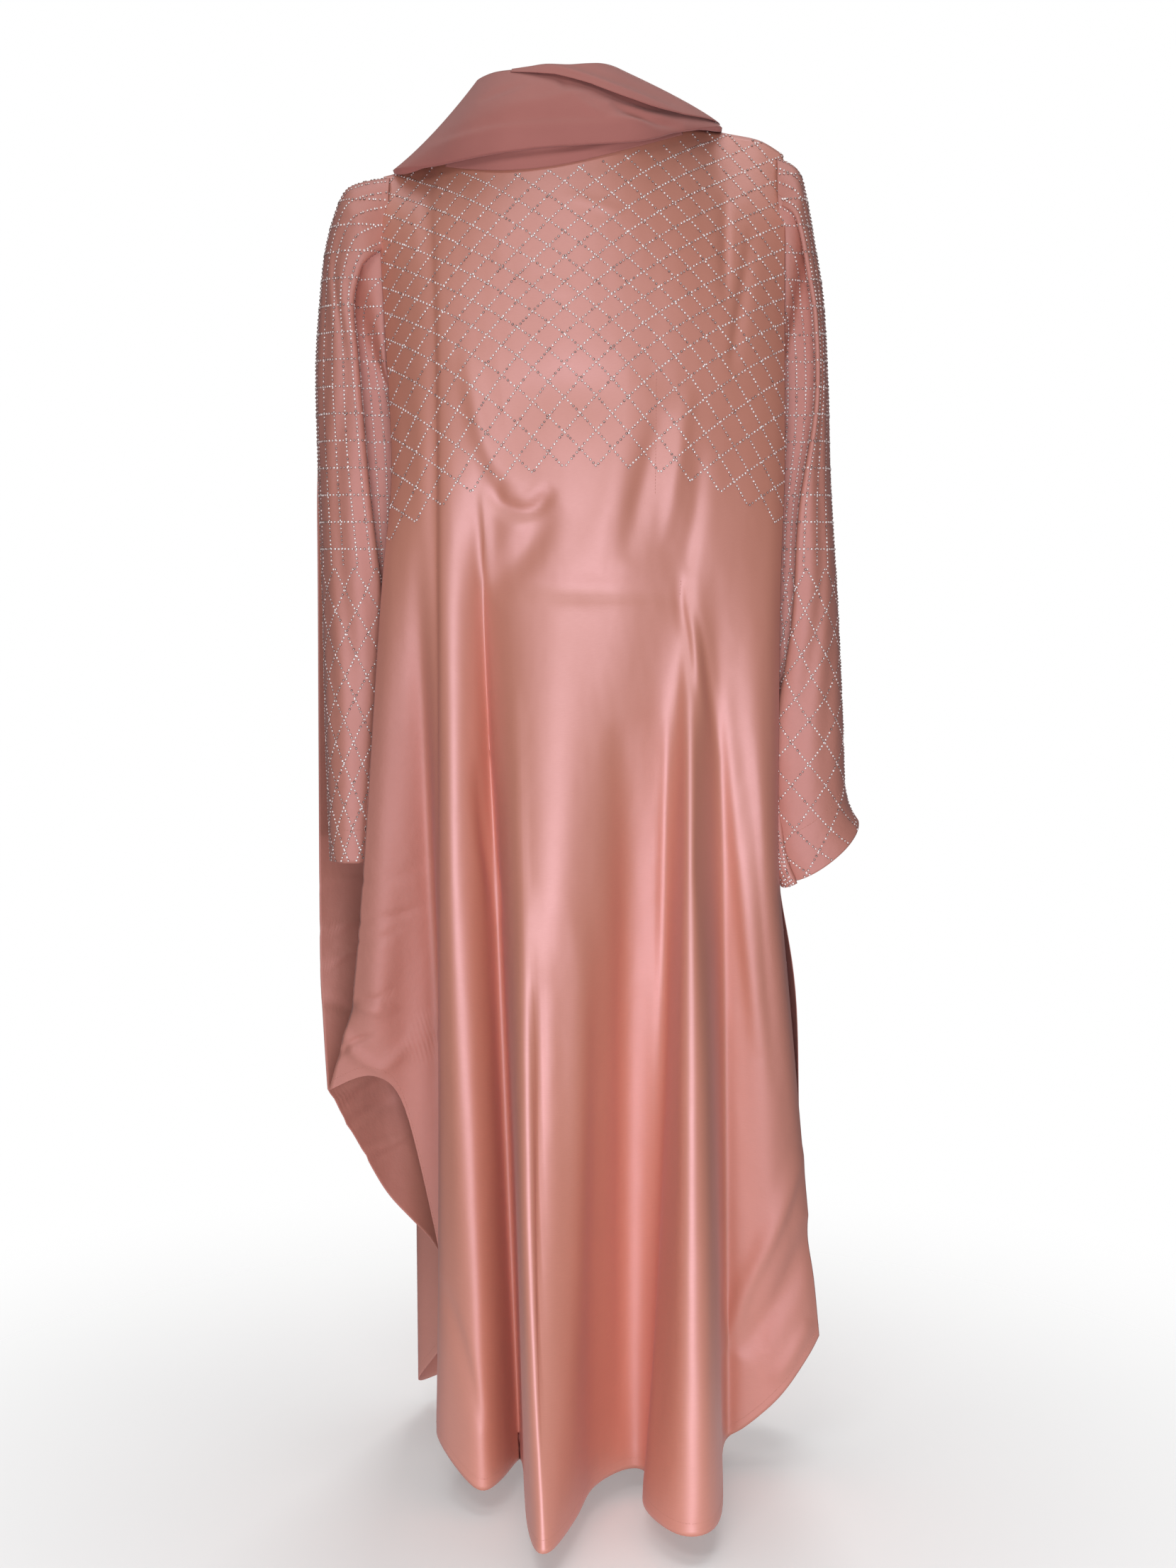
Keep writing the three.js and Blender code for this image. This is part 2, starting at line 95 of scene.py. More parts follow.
def fall(lines, places):
    """Each line read at places counted in levels: straight between two levels, averaged with a raised
    cosine over a stretch that shrinks to nothing at both ends. Gives places by lines by x, y, z."""
    last = lines.shape[1] - 1
    reach = np.minimum(np.minimum(FALL_SOFTNESS, places), last - places)
    total = 0
    weights = 0
    for step in np.linspace(-1, 1, 13)[1:-1]:
        at = places + step * reach
        below = np.minimum(last - 1, np.floor(at).astype(int))
        share = (at - below)[None, :, None]
        weight = 1 + np.cos(np.pi * step)
        total = total + weight * (lines[:, below] * (1 - share) + lines[:, below + 1] * share)
        weights += weight
    return (total / weights).transpose(1, 0, 2)


def spline(points, places, ring=False):
    """A Catmull-Rom curve through the second axis of points, read at places counted in points."""
    count = points.shape[1]
    start = np.floor(places).astype(int)
    start = start if ring else np.minimum(count - 2, start)
    t = (places - start)[None, :, None]
    index = [start + k for k in (-1, 0, 1, 2)]
    index = [i % count if ring else np.clip(i, 0, count - 1) for i in index]
    p0, p1, p2, p3 = (points[:, i] for i in index)
    bend = (2 * p0 - 5 * p1 + 4 * p2 - p3) * t**2 + (3 * p1 - p0 - 3 * p2 + p3) * t**3
    return (2 * p1 + (p2 - p0) * t + bend) / 2


def soften(points, times, ring=False):
    """Each column of points moved to a quarter, half, quarter mean of itself and its neighbours."""
    for _ in range(times):
        if ring:
            points = (np.roll(points, 1, 1) + 2 * points + np.roll(points, -1, 1)) / 4
        else:
            inner = (points[:, :-2] + 2 * points[:, 1:-1] + points[:, 2:]) / 4
            points = np.concatenate([points[:, :1], inner, points[:, -1:]], axis=1)
    return points


def panel(table, columns, rows):
    """A grid of points, rows from the shoulder down by columns from the wearer's right to left."""
    places = np.concatenate([k + np.arange(n) / n for k, n in enumerate(rows)] + [[len(rows)]])
    across = np.linspace(0, len(table) - 1, columns + 1)
    return soften(spline(fall(hanging_lines(table), places), across), PANEL_SOFTENED)


def summed(steps, axis=0):
    """Running sums along an axis, from 0."""
    return np.insert(np.cumsum(steps, axis=axis), 0, 0, axis=axis)


def ramp(values, start, end):
    """0 up to start and 1 from end on, straight between them."""
    return np.clip((values - start) / (end - start), 0, 1)


def unit(vectors):
    """Vectors made one long."""
    return vectors / np.maximum(np.linalg.norm(vectors, axis=-1, keepdims=True), 1e-12)


def facing(points, ring=False, side=1):
    """The outward direction of a grid: the way down crossed with the way along, turned round by side."""
    if ring:
        along = np.roll(points, -1, 1) - np.roll(points, 1, 1)
    else:
        along = np.gradient(points, axis=1)
    down = np.gradient(points, axis=0)
    return unit(np.cross(down, along)) * side


def creases(points, outward, table):
    """Moves cloth along its outward direction. Each crease is a line through x, z points, a height, and
    a width on its left and its right: height times a bell curve of the distance, faded at its ends."""
    plane = points[..., [0, 2]]
    lift = np.zeros(points.shape[:2])
    for path, height, left, right in table:
        path = np.array(path) * MM
        steps = np.linspace(0, len(path) - 1, 8 * (len(path) - 1) + 1)
        path = spline(path[None], steps)[0]
        lengths = np.linalg.norm(np.diff(path, axis=0), axis=1)
        begun = summed(lengths)
        nearest = np.full(lift.shape, 1.0)
        side = np.zeros(lift.shape)
        along = np.zeros(lift.shape)
        for k, length in enumerate(lengths):
            way = (path[k + 1] - path[k]) / length
            offset = plane - path[k]
            place = np.clip(offset @ way, 0, length)
            away = offset - place[..., None] * way
            distance = np.linalg.norm(away, axis=-1)
            closer = distance < nearest
            nearest = np.where(closer, distance, nearest)
            side = np.where(closer, away[..., 0] * way[1] - away[..., 1] * way[0], side)
            along = np.where(closer, (begun[k] + place) / begun[-1], along)
        width = np.where(side < 0, left, right) * MM
        fade = np.sin(np.pi * np.clip(along, 0, 1)) ** 0.7
        lift += height * MM * fade * np.exp(-((nearest / width) ** 2))
    return points + outward * lift[..., None]


def joined(ring):
    """A ring's columns with the first one set again at the end, on the other side of its seam."""
    return np.concatenate([ring, ring[:, :1]], axis=1)


def laid_out(points, ring=False):
    """The cloth laid flat, in metres: arc length along each row from its middle, and down each column.
    On an open piece the way along is the mean of all rows, so that its columns lie straight."""
    if ring:
        points = joined(points)
    along = summed(np.linalg.norm(np.diff(points, axis=1), axis=2), 1)
    along = along - along[:, along.shape[1] // 2][:, None]
    if not ring:
        along = np.broadcast_to(along.mean(axis=0), along.shape)
    down = summed(np.linalg.norm(np.diff(points, axis=0), axis=2))
    return np.stack([along, down], axis=-1)


def meshed(name, points, corners, sizes):
    """A mesh of points, from the point at each corner of its faces and each face's count of corners."""
    mesh = bpy.data.meshes.new(name)
    mesh.vertices.add(points.size // 3)
    mesh.vertices.foreach_set("co", points.ravel())
    mesh.loops.add(corners.size)
    mesh.loops.foreach_set("vertex_index", corners.ravel())
    mesh.polygons.add(len(sizes))
    mesh.polygons.foreach_set("loop_start", np.cumsum(sizes) - sizes)
    mesh.update(calc_edges=True)
    return mesh


def added(mesh, material, cloth=None):
    """Puts a mesh with its material into the scene. What is set on or sewn to a cloth is its child."""
    piece = bpy.data.objects.new(mesh.name, mesh)
    bpy.context.scene.collection.objects.link(piece)
    mesh.materials.append(material)
    piece.parent = cloth
    return piece


def lay(name, points, material, side=1, ring=False, thick=SATIN_THICK, marks=None):
    """Makes a grid of points into a mesh of four-sided faces with its cut as UV map, and gives it the
    cloth's thickness on its inner side. marks are numbers kept at each point for the material."""
    rows, columns = points.shape[:2]
    index = np.arange(rows * columns).reshape(rows, columns)
    flat = laid_out(points, ring)
    flat_index = np.arange(flat.shape[0] * flat.shape[1]).reshape(flat.shape[:2])
    if ring:
        index = joined(index)

    def corners(grid):
        found = [grid[:-1, :-1], grid[1:, :-1], grid[1:, 1:], grid[:-1, 1:]]
        return np.stack(found[:: side], axis=-1).reshape(-1, 4)

    faces = corners(index)
    mesh = meshed(name, points, faces, np.full(len(faces), 4))
    mesh.polygons.foreach_set("use_smooth", np.ones(len(faces), dtype=bool))
    layer = mesh.uv_layers.new(name="Cut")
    layer.uv.foreach_set("vector", flat.reshape(-1, 2)[corners(flat_index)].ravel())
    for mark, values in (marks or {}).items():
        kept = mesh.attributes.new(mark, "FLOAT", "POINT")
        kept.data.foreach_set("value", values.ravel())
    piece = added(mesh, material)
    if thick:
        wall = piece.modifiers.new("cloth", "SOLIDIFY")
        wall.thickness = thick
        wall.offset = -1
    return piece


class Socket:
    """A shader value. Arithmetic on it adds Math nodes, and node() adds any other node."""

    def __init__(self, tree, output=None):
        self.tree = tree
        self.output = output

    def node(self, kind, settings, inputs, output=0):
        made = self.tree.nodes.new(kind)
        for name, value in settings.items():
            if name == "stops":
                elements = made.color_ramp.elements
                while len(elements) < len(value):
                    elements.new(0.5)
                for stop, (place, colour) in zip(elements, value):
                    stop.position = place
                    stop.color = (*colour, 1)
            else:
                setattr(made, name, value)
        fill(made, inputs)
        return Socket(self.tree, made.outputs[output])

    def maths(self, operation, first, second=0.0):
        return self.node("ShaderNodeMath", {"operation": operation}, {0: first, 1: second})

    def __add__(self, other):
        return self.maths("ADD", self, other)

    def __mul__(self, other):
        return self.maths("MULTIPLY", self, other)

    __radd__ = __add__
    __rmul__ = __mul__


def fill(node, inputs):
    """Gives a node its inputs: a Socket is linked, and anything else is a constant."""
    for name, value in inputs.items():
        if isinstance(value, Socket):
            value.tree.links.new(value.output, node.inputs[name])
        else:
            node.inputs[name].default_value = value


def finish_nodes(name):
    """A new material: its start for shader maths and its Principled shader."""
    material = bpy.data.materials.new(name)
    material.use_nodes = True
    tree = material.node_tree
    return material, Socket(tree), tree.nodes["Principled BSDF"]


def blend(start, share, first, second):
    """Two colours mixed by a share."""
    return start.node("ShaderNodeMix", {"data_type": "RGBA"}, {0: share, 6: first, 7: second}, output=2)


def noise(start, at, scale, detail=2.0, rough=0.5, stretch=(1, 1, 1)):
    """Smooth noise of a size, drawn out along an axis by a stretch."""
    placed = start.node("ShaderNodeVectorMath", {"operation": "MULTIPLY"}, {0: at, 1: stretch})
    inputs = {"Vector": placed, "Scale": scale, "Detail": detail, "Roughness": rough}
    return start.node("ShaderNodeTexNoise", {}, inputs)


def bumped(start, height, distance, strength, below=None):
    """A normal tilted by a height, on top of another such normal."""
    inputs = {"Height": height, "Distance": distance, "Strength": strength}
    if below:
        inputs["Normal"] = below
    return start.node("ShaderNodeBump", {}, inputs)


def satin(name):
    """Satin of fine floating yarns: slubs along the weft, faint crinkles and a broad lilac gloss. Its
    gloss is scattered where the cloth is rumpled, which each point's mark gives, and there its colour
    is darkened with painted shade."""
    material, start, shader = finish_nodes(name)
    rumpled = start.node("ShaderNodeAttribute", {"attribute_name": "rumpled"}, {}, output="Fac")
    cut = start.node("ShaderNodeUVMap", {"uv_map": "Cut"}, {})
    place = start.node("ShaderNodeTexCoord", {}, {}, output="Object")
    cloud = noise(start, place, 9.0, 3.0)
    slub = noise(start, cut, 900.0, 2.0, 0.6, stretch=(0.12, 1, 1))
    yarn = noise(start, cut, 2600.0, 1.0, 0.5, stretch=(1, 0.25, 1))
    worn = noise(start, place, 34.0, 3.0, 0.6)
    shade = blend(start, cloud, (0.56, 0.215, 0.130, 1), (0.62, 0.247, 0.153, 1))
    shade = blend(start, slub * 0.35, shade, (0.47, 0.163, 0.100, 1))
    # Painted shade: where the cloth is rumpled, its colour is darkened towards a deep tan.
    shade = blend(start, rumpled * 0.7, shade, (0.41, 0.145, 0.092, 1))
    gloss = 0.5 + worn * 0.05 + slub * 0.05 + rumpled * 0.2
    weave = bumped(start, slub + yarn * 0.4, 0.00012, 0.5)
    soft = noise(start, place, 22.0, 2.0, 0.5, stretch=(1, 1, 0.45))
    crinkle = noise(start, place, 70.0, 3.0, 0.6)
    fill(shader, {
        "Base Color": shade,
        "Roughness": gloss,
        "Normal": bumped(start, soft + rumpled * crinkle * 0.5, 0.0022, 0.6, weave),
        "IOR": 2.0,
        "Specular Tint": (1.0, 0.74, 0.84, 1),
        "Specular IOR Level": 1.0,
        "Sheen Weight": 0.06,
        "Sheen Roughness": 0.4,
        "Sheen Tint": (1.0, 0.7, 0.74, 1),
    })
    return material


rose_satin = satin("rose satin")
# x, z of the points of a crease, its height, and its widths to the left and the right of its way, all
# in millimetres.
FRONT_CREASES = [
    # The left pinch: a soft ridge that ends in a puff over a smile-shaped fold, and a broad valley.
    ([(-120, -225), (-97, -325), (-60, -368)], 4, 12, 11),
    ([(-92, -358), (-82, -381), (-54, -388), (-28, -364)], -5.5, 8, 8),
    ([(-102, -366), (-99, -420), (-101, -470)], 3.5, 7, 6),
    ([(-30, -376), (-60, -430), (-98, -468)], -5.5, 17, 15),
    ([(-110, -466), (-47, -465), (-12, -470), (98, -471)], -3, 15, 9),
    # The right pinch and the folds that run down from it.
    ([(101, -452), (101, -480), (108, -520), (114, -580)], -2.6, 5, 7),
    ([(106, -486), (116, -526), (128, -620)], 1.8, 8, 8),
    ([(114, -486), (125, -530), (140, -640)], -2.2, 5, 8),
    # Slanting folds between the bust and the waist.
    ([(64, -250), (32, -370), (6, -460)], 3.2, 20, 18),
    ([(82, -286), (65, -350), (44, -440)], -3.2, 11, 11),
    ([(110, -256), (98, -331), (84, -424)], 3, 10, 9),
    ([(122, -320), (116, -390), (107, -452)], -2.6, 9, 10),
    ([(-80, -272), (-20, -264), (44, -270)], -4, 30, 30),
    # Long fold lines at the sides and small wrinkles in the yoke.
    ([(-162, -40), (-154, -180), (-152, -466), (-153, -760), (-154, -1000), (-157, -1345)], -5, 4, 11),
    ([(-140, -420), (-136, -620), (-132, -900), (-124, -1200)], 3, 9, 10),
    ([(151, -48), (150, -110), (148, -170)], -3, 4, 8),
    ([(178, -86), (166, -160), (152, -245)], -3, 8, 5),
    ([(-20, -66), (6, -72), (44, -84)], 1.6, 5, 4),
    ([(-92, -126), (-60, -132), (-30, -146)], 1.7, 4, 5),
    ([(-70, -146), (-40, -158), (-8, -160)], 1.6, 4, 5),
    # Folds of the skirt.
    ([(88, -600), (84, -760), (80, -1000), (75, -1200), (71, -1388)], -6, 16, 5),
    ([(112, -600), (109, -760), (106, -1080), (101, -1388)], 4, 6, 14),
    ([(-98, -640), (-89, -800), (-79, -1000), (-69, -1200), (-62, -1388)], -4.5, 13, 10),
    ([(-68, -560), (-61, -760), (-49, -1080), (-38, -1390)], 4, 6, 18),
    ([(40, -600), (50, -760), (50, -1080), (48, -1380)], -12, 20, 16),
    ([(0, -800), (-6, -1000), (-12, -1200), (-16, -1396)], 9, 14, 14),
    ([(-52, -760), (-52, -1000), (-52, -1200), (-50, -1396)], 4, 6, 12),
    ([(-46, -860), (-42, -1000), (-40, -1200), (-37, -1398)], -10, 10, 12),
    ([(118, -760), (116, -1000), (116, -1200), (118, -1390)], 7, 14, 12),
    ([(-108, -640), (-100, -725), (-84, -815)], -3, 4, 7),
    ([(-146, -1190), (-126, -1250), (-104, -1340)], -3, 6, 9),
    ([(146, -560), (164, -760), (186, -960)], 4, 10, 8),
    ([(170, -620), (186, -800), (206, -1010)], -3, 8, 8),
    # The right wing's wrinkles, its curved corner and the ridge that rises from it.
    ([(-252, -777), (-190, -768), (-158, -752)], -2, 5, 4),
    ([(-250, -821), (-188, -809), (-158, -801)], -2.6, 5, 4),
    ([(-246, -841), (-204, -832), (-190, -824)], -2.4, 4, 4),
    ([(-246, -896), (-222, -900), (-200, -898)], -3, 4, 4),
    ([(-244, -908), (-222, -912), (-194, -912)], 2.4, 5, 5),
    ([(-256, -932), (-240, -962), (-208, -984)], 4, 6, 6),
    ([(-222, -990), (-176, -948), (-150, -930)], 3, 8, 6),
    ([(-266, -952), (-256, -926), (-239, -899)], -4, 4, 6),
    ([(-270, -976), (-246, -950), (-222, -940)], -3, 4, 4),
    # The left wing's slanting fold.
    ([(236, -1070), (207, -1150), (176, -1224), (152, -1295)], 6, 8, 12),
    ([(250, -1150), (226, -1210), (196, -1262), (170, -1300)], -7, 16, 14),
    ([(206, -1330), (226, -1300), (246, -1262)], 4, 9, 9),
]
RUMPLED_SHADE_BELOW = (-420, -620)  # heights from which, and by which, the sides are fully rumpled and darkened with painted shade
front_points = panel(FRONT_LINES, FRONT_COLUMNS, PANEL_ROWS)
front_outward = facing(front_points)
front_points = creases(front_points + front_outward * WALL, front_outward, FRONT_CREASES)
x, _, z = (front_points / MM).transpose(2, 0, 1)
# The rumpled wings: scattered gloss and crinkles, and painted shade that darkens their colour.
rumpled = (ramp(x, -140, -170) + np.minimum(ramp(x, 170, 230), 0.6)) * ramp(z, *RUMPLED_SHADE_BELOW)
front = lay("front_cloth", front_points, rose_satin, marks={"rumpled": rumpled})
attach(front, "root")
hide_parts("front_panel")

# The back panel
# One flared piece of the same satin, wider than the front, with the back of both side wings and a
# smooth yoke below the shoulders.
S = 1.6  # step from the front panel's shoulder edge to the back panel's
BACK_LINES = [
    [[-213, S, -28], [-213, 60], [-284, 74], [-295, 84], [-294, 88],
     [-291, 78], [-286, 44], None, [-272, -1, -1004]],
    [[-206, S, -26], [-204, 62], [-266, 80], [-278, 92], [-277, 98], [-270, 98], [-240, 16, -1068]],
    [[-196, S, -23], [-193, 70], [-238, 87], [-250, 99], [-248, 106], [-240, 116], [-212, 34, -1125]],
    [[-186, S, -20], [-180, 77], [-208, 93], [-214, 105], [-212, 112], [-206, 124], [-184, 52, -1162]],
    [[-176, S, -17], [-166, 83], [-180, 98], [-183, 109], [-180, 116], [-176, 128], [-160, 84, -1202]],
    [[-166, S, -15], [-150, 89], [-156, 102], [-158, 112], [-156, 118], [-152, 134], [-134, 132, -1290]],
    [[-150, 32, -8], [-132, 94], [-134, 106], [-136, 115], [-136, 121],
     [-148, 154], [-156, 166], [-160, 172], [-162, 178, -1345]],
    [[-128, 60, -3], [-112, 98], [-112, 109], [-113, 118], [-114, 126],
     [-146, 176], [-176, 194], [-196, 206], [-193, 214, -1398]],
    [[-104, 80, 2], [-90, 102], [-90, 112], [-90, 121], [-92, 129], [-104, 182], [-148, 260]],
    [[-76, 92, 6], [-66, 105], [-66, 114], [-66, 123], [-67, 125], [-74, 150], [-92, 190, -1396]],
    [[-46, 98, 9], [-38, 107], [-38, 116], [-38, 125], [-38, 133], [-42, 180], [-48, 262]],
    [[-16, 100, 11], [-10, 108], [-10, 117], [-10, 126], [-10, 127], [-8, 152], [-4, 194]],
    [[14, 98, 13], [18, 107], [18, 116], [18, 125], [19, 133], [24, 182], [40, 268]],
    [[44, 89, 16], [46, 103], [46, 113], [46, 122], [48, 124], [58, 148], [84, 188, -1398]],
    [[74, 73, 18], [74, 99], [74, 110], [75, 120], [78, 130], [96, 176], [136, 248, -1390]],
    [[102, 50, 20], [102, 93], [104, 105], [106, 115], [108, 118], [124, 134], [158, 158, -1372]],
    [[122, 26, 21], [126, 86], [134, 98], [140, 108], [144, 114], [158, 138], [206, 172, -1350]],
    [[135, S, 21], [150, 76], [166, 89], [176, 98], [182, 104], [186, 114], [240, 122, -1322]],
    [[162, S, 17], [174, 66], [198, 80], [212, 89], [216, 92],
     [206, 88], [224, 80], [240, 72], [252, 82, -1300]],
    [[190, S, 11], [196, 58], [226, 74], [242, 81], [240, 84],
     [206, 76], [229, 62], [236, 42], [251, 64, -1290]],
    [[214, S, -4], [213, 58], [248, 68], [262, 75], [252, 78],
     [207, 64], [233, 46], [233, 27], [251, 52, -1284]],
]
BACK_COLUMNS = 180
BACK_CREASES = [
    # Wrinkles of the right wing, seen on its inner side below the sleeve, and of the lip under it.
    ([(-292, -796), (-268, -795), (-240, -793)], -3, 5, 4),
    ([(-294, -843), (-268, -841), (-240, -835)], -3, 4, 5),
    ([(-288, -884), (-265, -873), (-236, -868)], -3, 5, 4),
    ([(-290, -915), (-262, -926), (-236, -938)], 2.5, 6, 6),
    ([(-276, -1024), (-248, -1010), (-214, -998)], -3.5, 5, 4),
    ([(-262, -1052), (-240, -1040), (-206, -1030)], 3, 6, 6),
    ([(-242, -1082), (-214, -1078), (-178, -1066)], -3.5, 5, 4),
    # Long folds that fall from the shoulder blades.
    ([(-90, -560), (-104, -800), (-134, -1100), (-148, -1390)], 4, 12, 12),
    ([(78, -560), (96, -800), (118, -1100), (136, -1380)], 4, 12, 12),
    ([(-150, -60), (-142, -200), (-138, -420)], -3, 8, 6),
    ([(150, -60), (152, -200), (146, -420)], -3, 6, 8),
]
back_points = panel(BACK_LINES, BACK_COLUMNS, PANEL_ROWS)
back_outward = facing(back_points, side=-1)
back_points = creases(back_points + back_outward * WALL, back_outward, BACK_CREASES)
x, _, z = (back_points / MM).transpose(2, 0, 1)
# The rumpled sides: scattered gloss and crinkles, and painted shade that darkens their colour.
rumpled = ramp(np.abs(x), 140, 200) * ramp(z, *RUMPLED_SHADE_BELOW)
back = lay("back_cloth", back_points, rose_satin, side=-1, marks={"rumpled": rumpled})
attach(back, "root")
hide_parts("back_panel")

# The sleeves
# Long straight sleeves of the same satin, set into armholes between the two panels and open at the
# cuff. Each hangs like a flattened tube, with its front stepped back behind one long fold. A row is
# the outer and the inner point in x and z, half the depth, where the fold lies across the arm, the
# share of depth lost behind it, and how far the middle hangs below the two points.
RIGHT_SLEEVE = [
    [-206, -30, -206, -232, 40, 0.65, 0.02, 0],
    [-237, -36, -207, -240, 55, 0.62, 0.25, 0],
    [-255, -49, -205, -250, 58, 0.61, 0.36, 0],
    [-271, -97, -202, -265, 59, 0.6, 0.55, 0],
    [-278, -152, -197, -290, 59, 0.52, 0.6, 0],
    [-283, -232, -190, -330, 58, 0.47, 0.6, 0],
    [-281, -330, -189, -400, 55, 0.4, 0.55, 0],
    [-276, -480, -200, -520, 50, 0.16, 0.36, 0],
    [-273, -620, -214, -640, 44, 0.12, 0.15, 0],
    [-268, -757, -222, -758, 36, 0.12, 0, 0],
]
LEFT_SLEEVE = [
    [207, -8, 207, -232, 38, 0.8, 0.02, 0],
    [228, -21, 207, -240, 52, 0.8, 0.25, 0],
    [237, -50, 206, -250, 55, 0.82, 0.36, 0],
    [245, -95, 203, -270, 56, 0.85, 0.55, 0],
    [255, -160, 201, -300, 56, 0.86, 0.6, 0],
    [260, -250, 197, -345, 55, 0.82, 0.6, 0],
    [263, -350, 195, -420, 53, 0.52, 0.55, 0],
    [270, -470, 194, -520, 50, 0.38, 0.4, 0],
    [276, -600, 188, -640, 48, 0.16, 0.25, 2],
    [280, -685, 197, -735, 44, 0.12, 0.05, 10],
    [294, -716, 211, -771, 40, 0.12, 0, 19],
]
FOLD_LAP = 0.14  # how far the fold laps over the recess, as a share of the arm's width
RECESS_POWER = 0.14  # how square the stepped-back front is beside the body
PLEATS = 3
PLEAT_DEPTH = 0.035
RECESS_COLUMNS = 30
OUTER_COLUMNS = 34
BEHIND_COLUMNS = 48
SLEEVE_ROWS = 150
SLEEVE_SOFTENED = 3


def sleeve(sections):
    """Rings round the arm: across the arm from the inner point, and to a depth in front or behind that
    is the half depth times a rounded bulge; the front is stepped back between the body and the fold,
    and nearly flat there. Narrow pleats run down the strip outside the fold: a cosine of the way
    across it, which dies away at both ends."""
    table = np.array(sections, dtype=float)
    places = np.linspace(0, len(table) - 1, SLEEVE_ROWS + 1)
    out_x, out_z, in_x, in_z, deep, fold, step, sag = spline(table[None], places)[0].T[..., None]
    recess = 1 - np.cos(np.linspace(0, np.pi / 2, RECESS_COLUMNS))
    outer = np.sin(np.linspace(0, np.pi / 2, OUTER_COLUMNS, endpoint=False))
    behind = (1 + np.cos(np.linspace(0, np.pi, BEHIND_COLUMNS, endpoint=False))) / 2
    first = fold - FOLD_LAP / 2
    across = np.concatenate(
        [(fold + FOLD_LAP / 2) * recess, first + (1 - first) * outer, behind + 0 * fold], axis=1
    )
    depth = np.concatenate(
        [step - 1 + 0 * recess, -1 + 0 * fold + 0 * outer, 1 + 0 * fold + 0 * behind], axis=1
    )
    power = np.concatenate([RECESS_POWER + 0 * recess, 0.4 + 0 * outer, 0.5 + 0 * behind])
    bulge = np.maximum(0, 4 * across * (1 - across)) ** power
    strip = np.concatenate([0 * recess, np.linspace(0, 1, OUTER_COLUMNS), 0 * behind])
    wander = 0.35 * np.sin(places[:, None] * 1.7)
    pleat = np.cos(2 * np.pi * (PLEATS * strip + wander)) * np.sin(np.pi * strip)
    depth = depth + PLEAT_DEPTH * pleat * np.clip(step / 0.3, 0.25, 1)
    x = in_x + (out_x - in_x) * across
    y = deep * depth * bulge
    z = in_z + (out_z - in_z) * across - sag * bulge
    return soften(np.stack([x, y, z], axis=-1) * MM, SLEEVE_SOFTENED, ring=True)


sleeves = {}
# The sleeves are rumpled all over: scattered gloss and crinkles, and painted shade that darkens them.
SLEEVE_RUMPLED_SHADE = 0.8
for side_name, sections, side in [("right", RIGHT_SLEEVE, -1), ("left", LEFT_SLEEVE, 1)]:
    ring = sleeve(sections)
    ring = ring + facing(ring, ring=True, side=side) * WALL
    marks = {"rumpled": np.full(ring.shape[:2], SLEEVE_RUMPLED_SHADE)}
    arm = lay(f"{side_name}_sleeve_cloth", ring, rose_satin, side=side, ring=True, marks=marks)
    sleeves[side_name] = joined(ring), joined(facing(ring, ring=True, side=side)), arm
    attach(arm, "root")
    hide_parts(f"sleeve_{side_name}")

# The neck cloth
# A draped stretch of matte mauve crepe round the neck, with a second stretch that crosses over it to
# the wearer's left shoulder and a third that shows below it at the front. It covers the neckline.
NECK_DRAPE = [
    [(-202, -2, -22), (-157, -4, 19), (-112, -4, 74)],
    [(-152, -62, -24), (-128, -76, 14), (-92, -44, 74)],
    [(-92, -108, -21), (-80, -110, 22), (-62, -68, 72)],
    [(-40, -116, -16), (-30, -116, 26), (-30, -78, 72)],
    [(8, -116, -13), (10, -112, 28), (0, -68, 74)],
    [(60, -105, -7), (52, -96, 30), (22, -44, 78)],
    [(106, -68, 10), (88, -58, 36), (34, -14, 82)],
    [(148, -4, 23.5), (112, 0, 47), (34, 16, 87)],
    [(114, 62, 18), (84, 56, 48), (16, 50, 90)],
    [(30, 113, -2), (20, 98, 46), (-22, 72, 92)],
    [(-72, 112, -8), (-64, 100, 40), (-68, 62, 88)],
    [(-154, 66, -20), (-124, 66, 28), (-100, 34, 80)],
]
CREPE_THICK = 0.8 * MM
LAP_GAP = 1.9 * MM
DRAPE_COLUMNS = 240
DRAPE_ROWS = 48
# The upper stretch's lower edge: a station round the drape, and a share of the drape's height.
CROSSING_EDGE = np.array([[1.67, 0.97], [3, 0.86], [4, 0.72], [5, 0.52], [6, 0.3], [7, 0.08]])
# The under stretch: its lower and upper edge.
UNDER_STRETCH = [
    [(-142, -55.2, -26), (-140, -58, -4)],
    [(-120, -75.2, -32), (-118, -77, 0)],
    [(-89, -95.2, -37), (-88, -98, 2)],
    [(-52, -104.2, -37), (-50, -107, 6)],
    [(-10, -106.2, -31), (-8, -107, 10)],
    [(32, -101.2, -20), (32, -99, 14)],
    [(70, -83.2, -7), (70, -79, 20)],
    [(104, -51.2, 8), (98, -49, 26)],
]


def crepe(name):
    """Matte crepe: a pebbled weave of twisted yarns, with a soft fuzz and almost no gloss."""
    material, start, shader = finish_nodes(name)
    cut = start.node("ShaderNodeUVMap", {"uv_map": "Cut"}, {})
    place = start.node("ShaderNodeTexCoord", {}, {}, output="Object")
    cloud = noise(start, place, 12.0, 3.0)
    grain = noise(start, cut, 1500.0, 2.0, 0.7)
    shade = blend(start, cloud, (0.42, 0.158, 0.135, 1), (0.50, 0.196, 0.170, 1))
    weave = bumped(start, grain, 0.0002, 0.6)
    fill(shader, {
        "Base Color": blend(start, grain * 0.4, shade, (0.34, 0.118, 0.102, 1)),
        "Roughness": 0.72 + grain * 0.12,
        "Normal": bumped(start, noise(start, cut, 30.0, 2.0), 0.002, 0.5, weave),
        "Specular IOR Level": 0.3,
        "Sheen Weight": 0.25,
        "Sheen Roughness": 0.5,
        "Sheen Tint": (1.0, 0.75, 0.75, 1),
    })
    return material


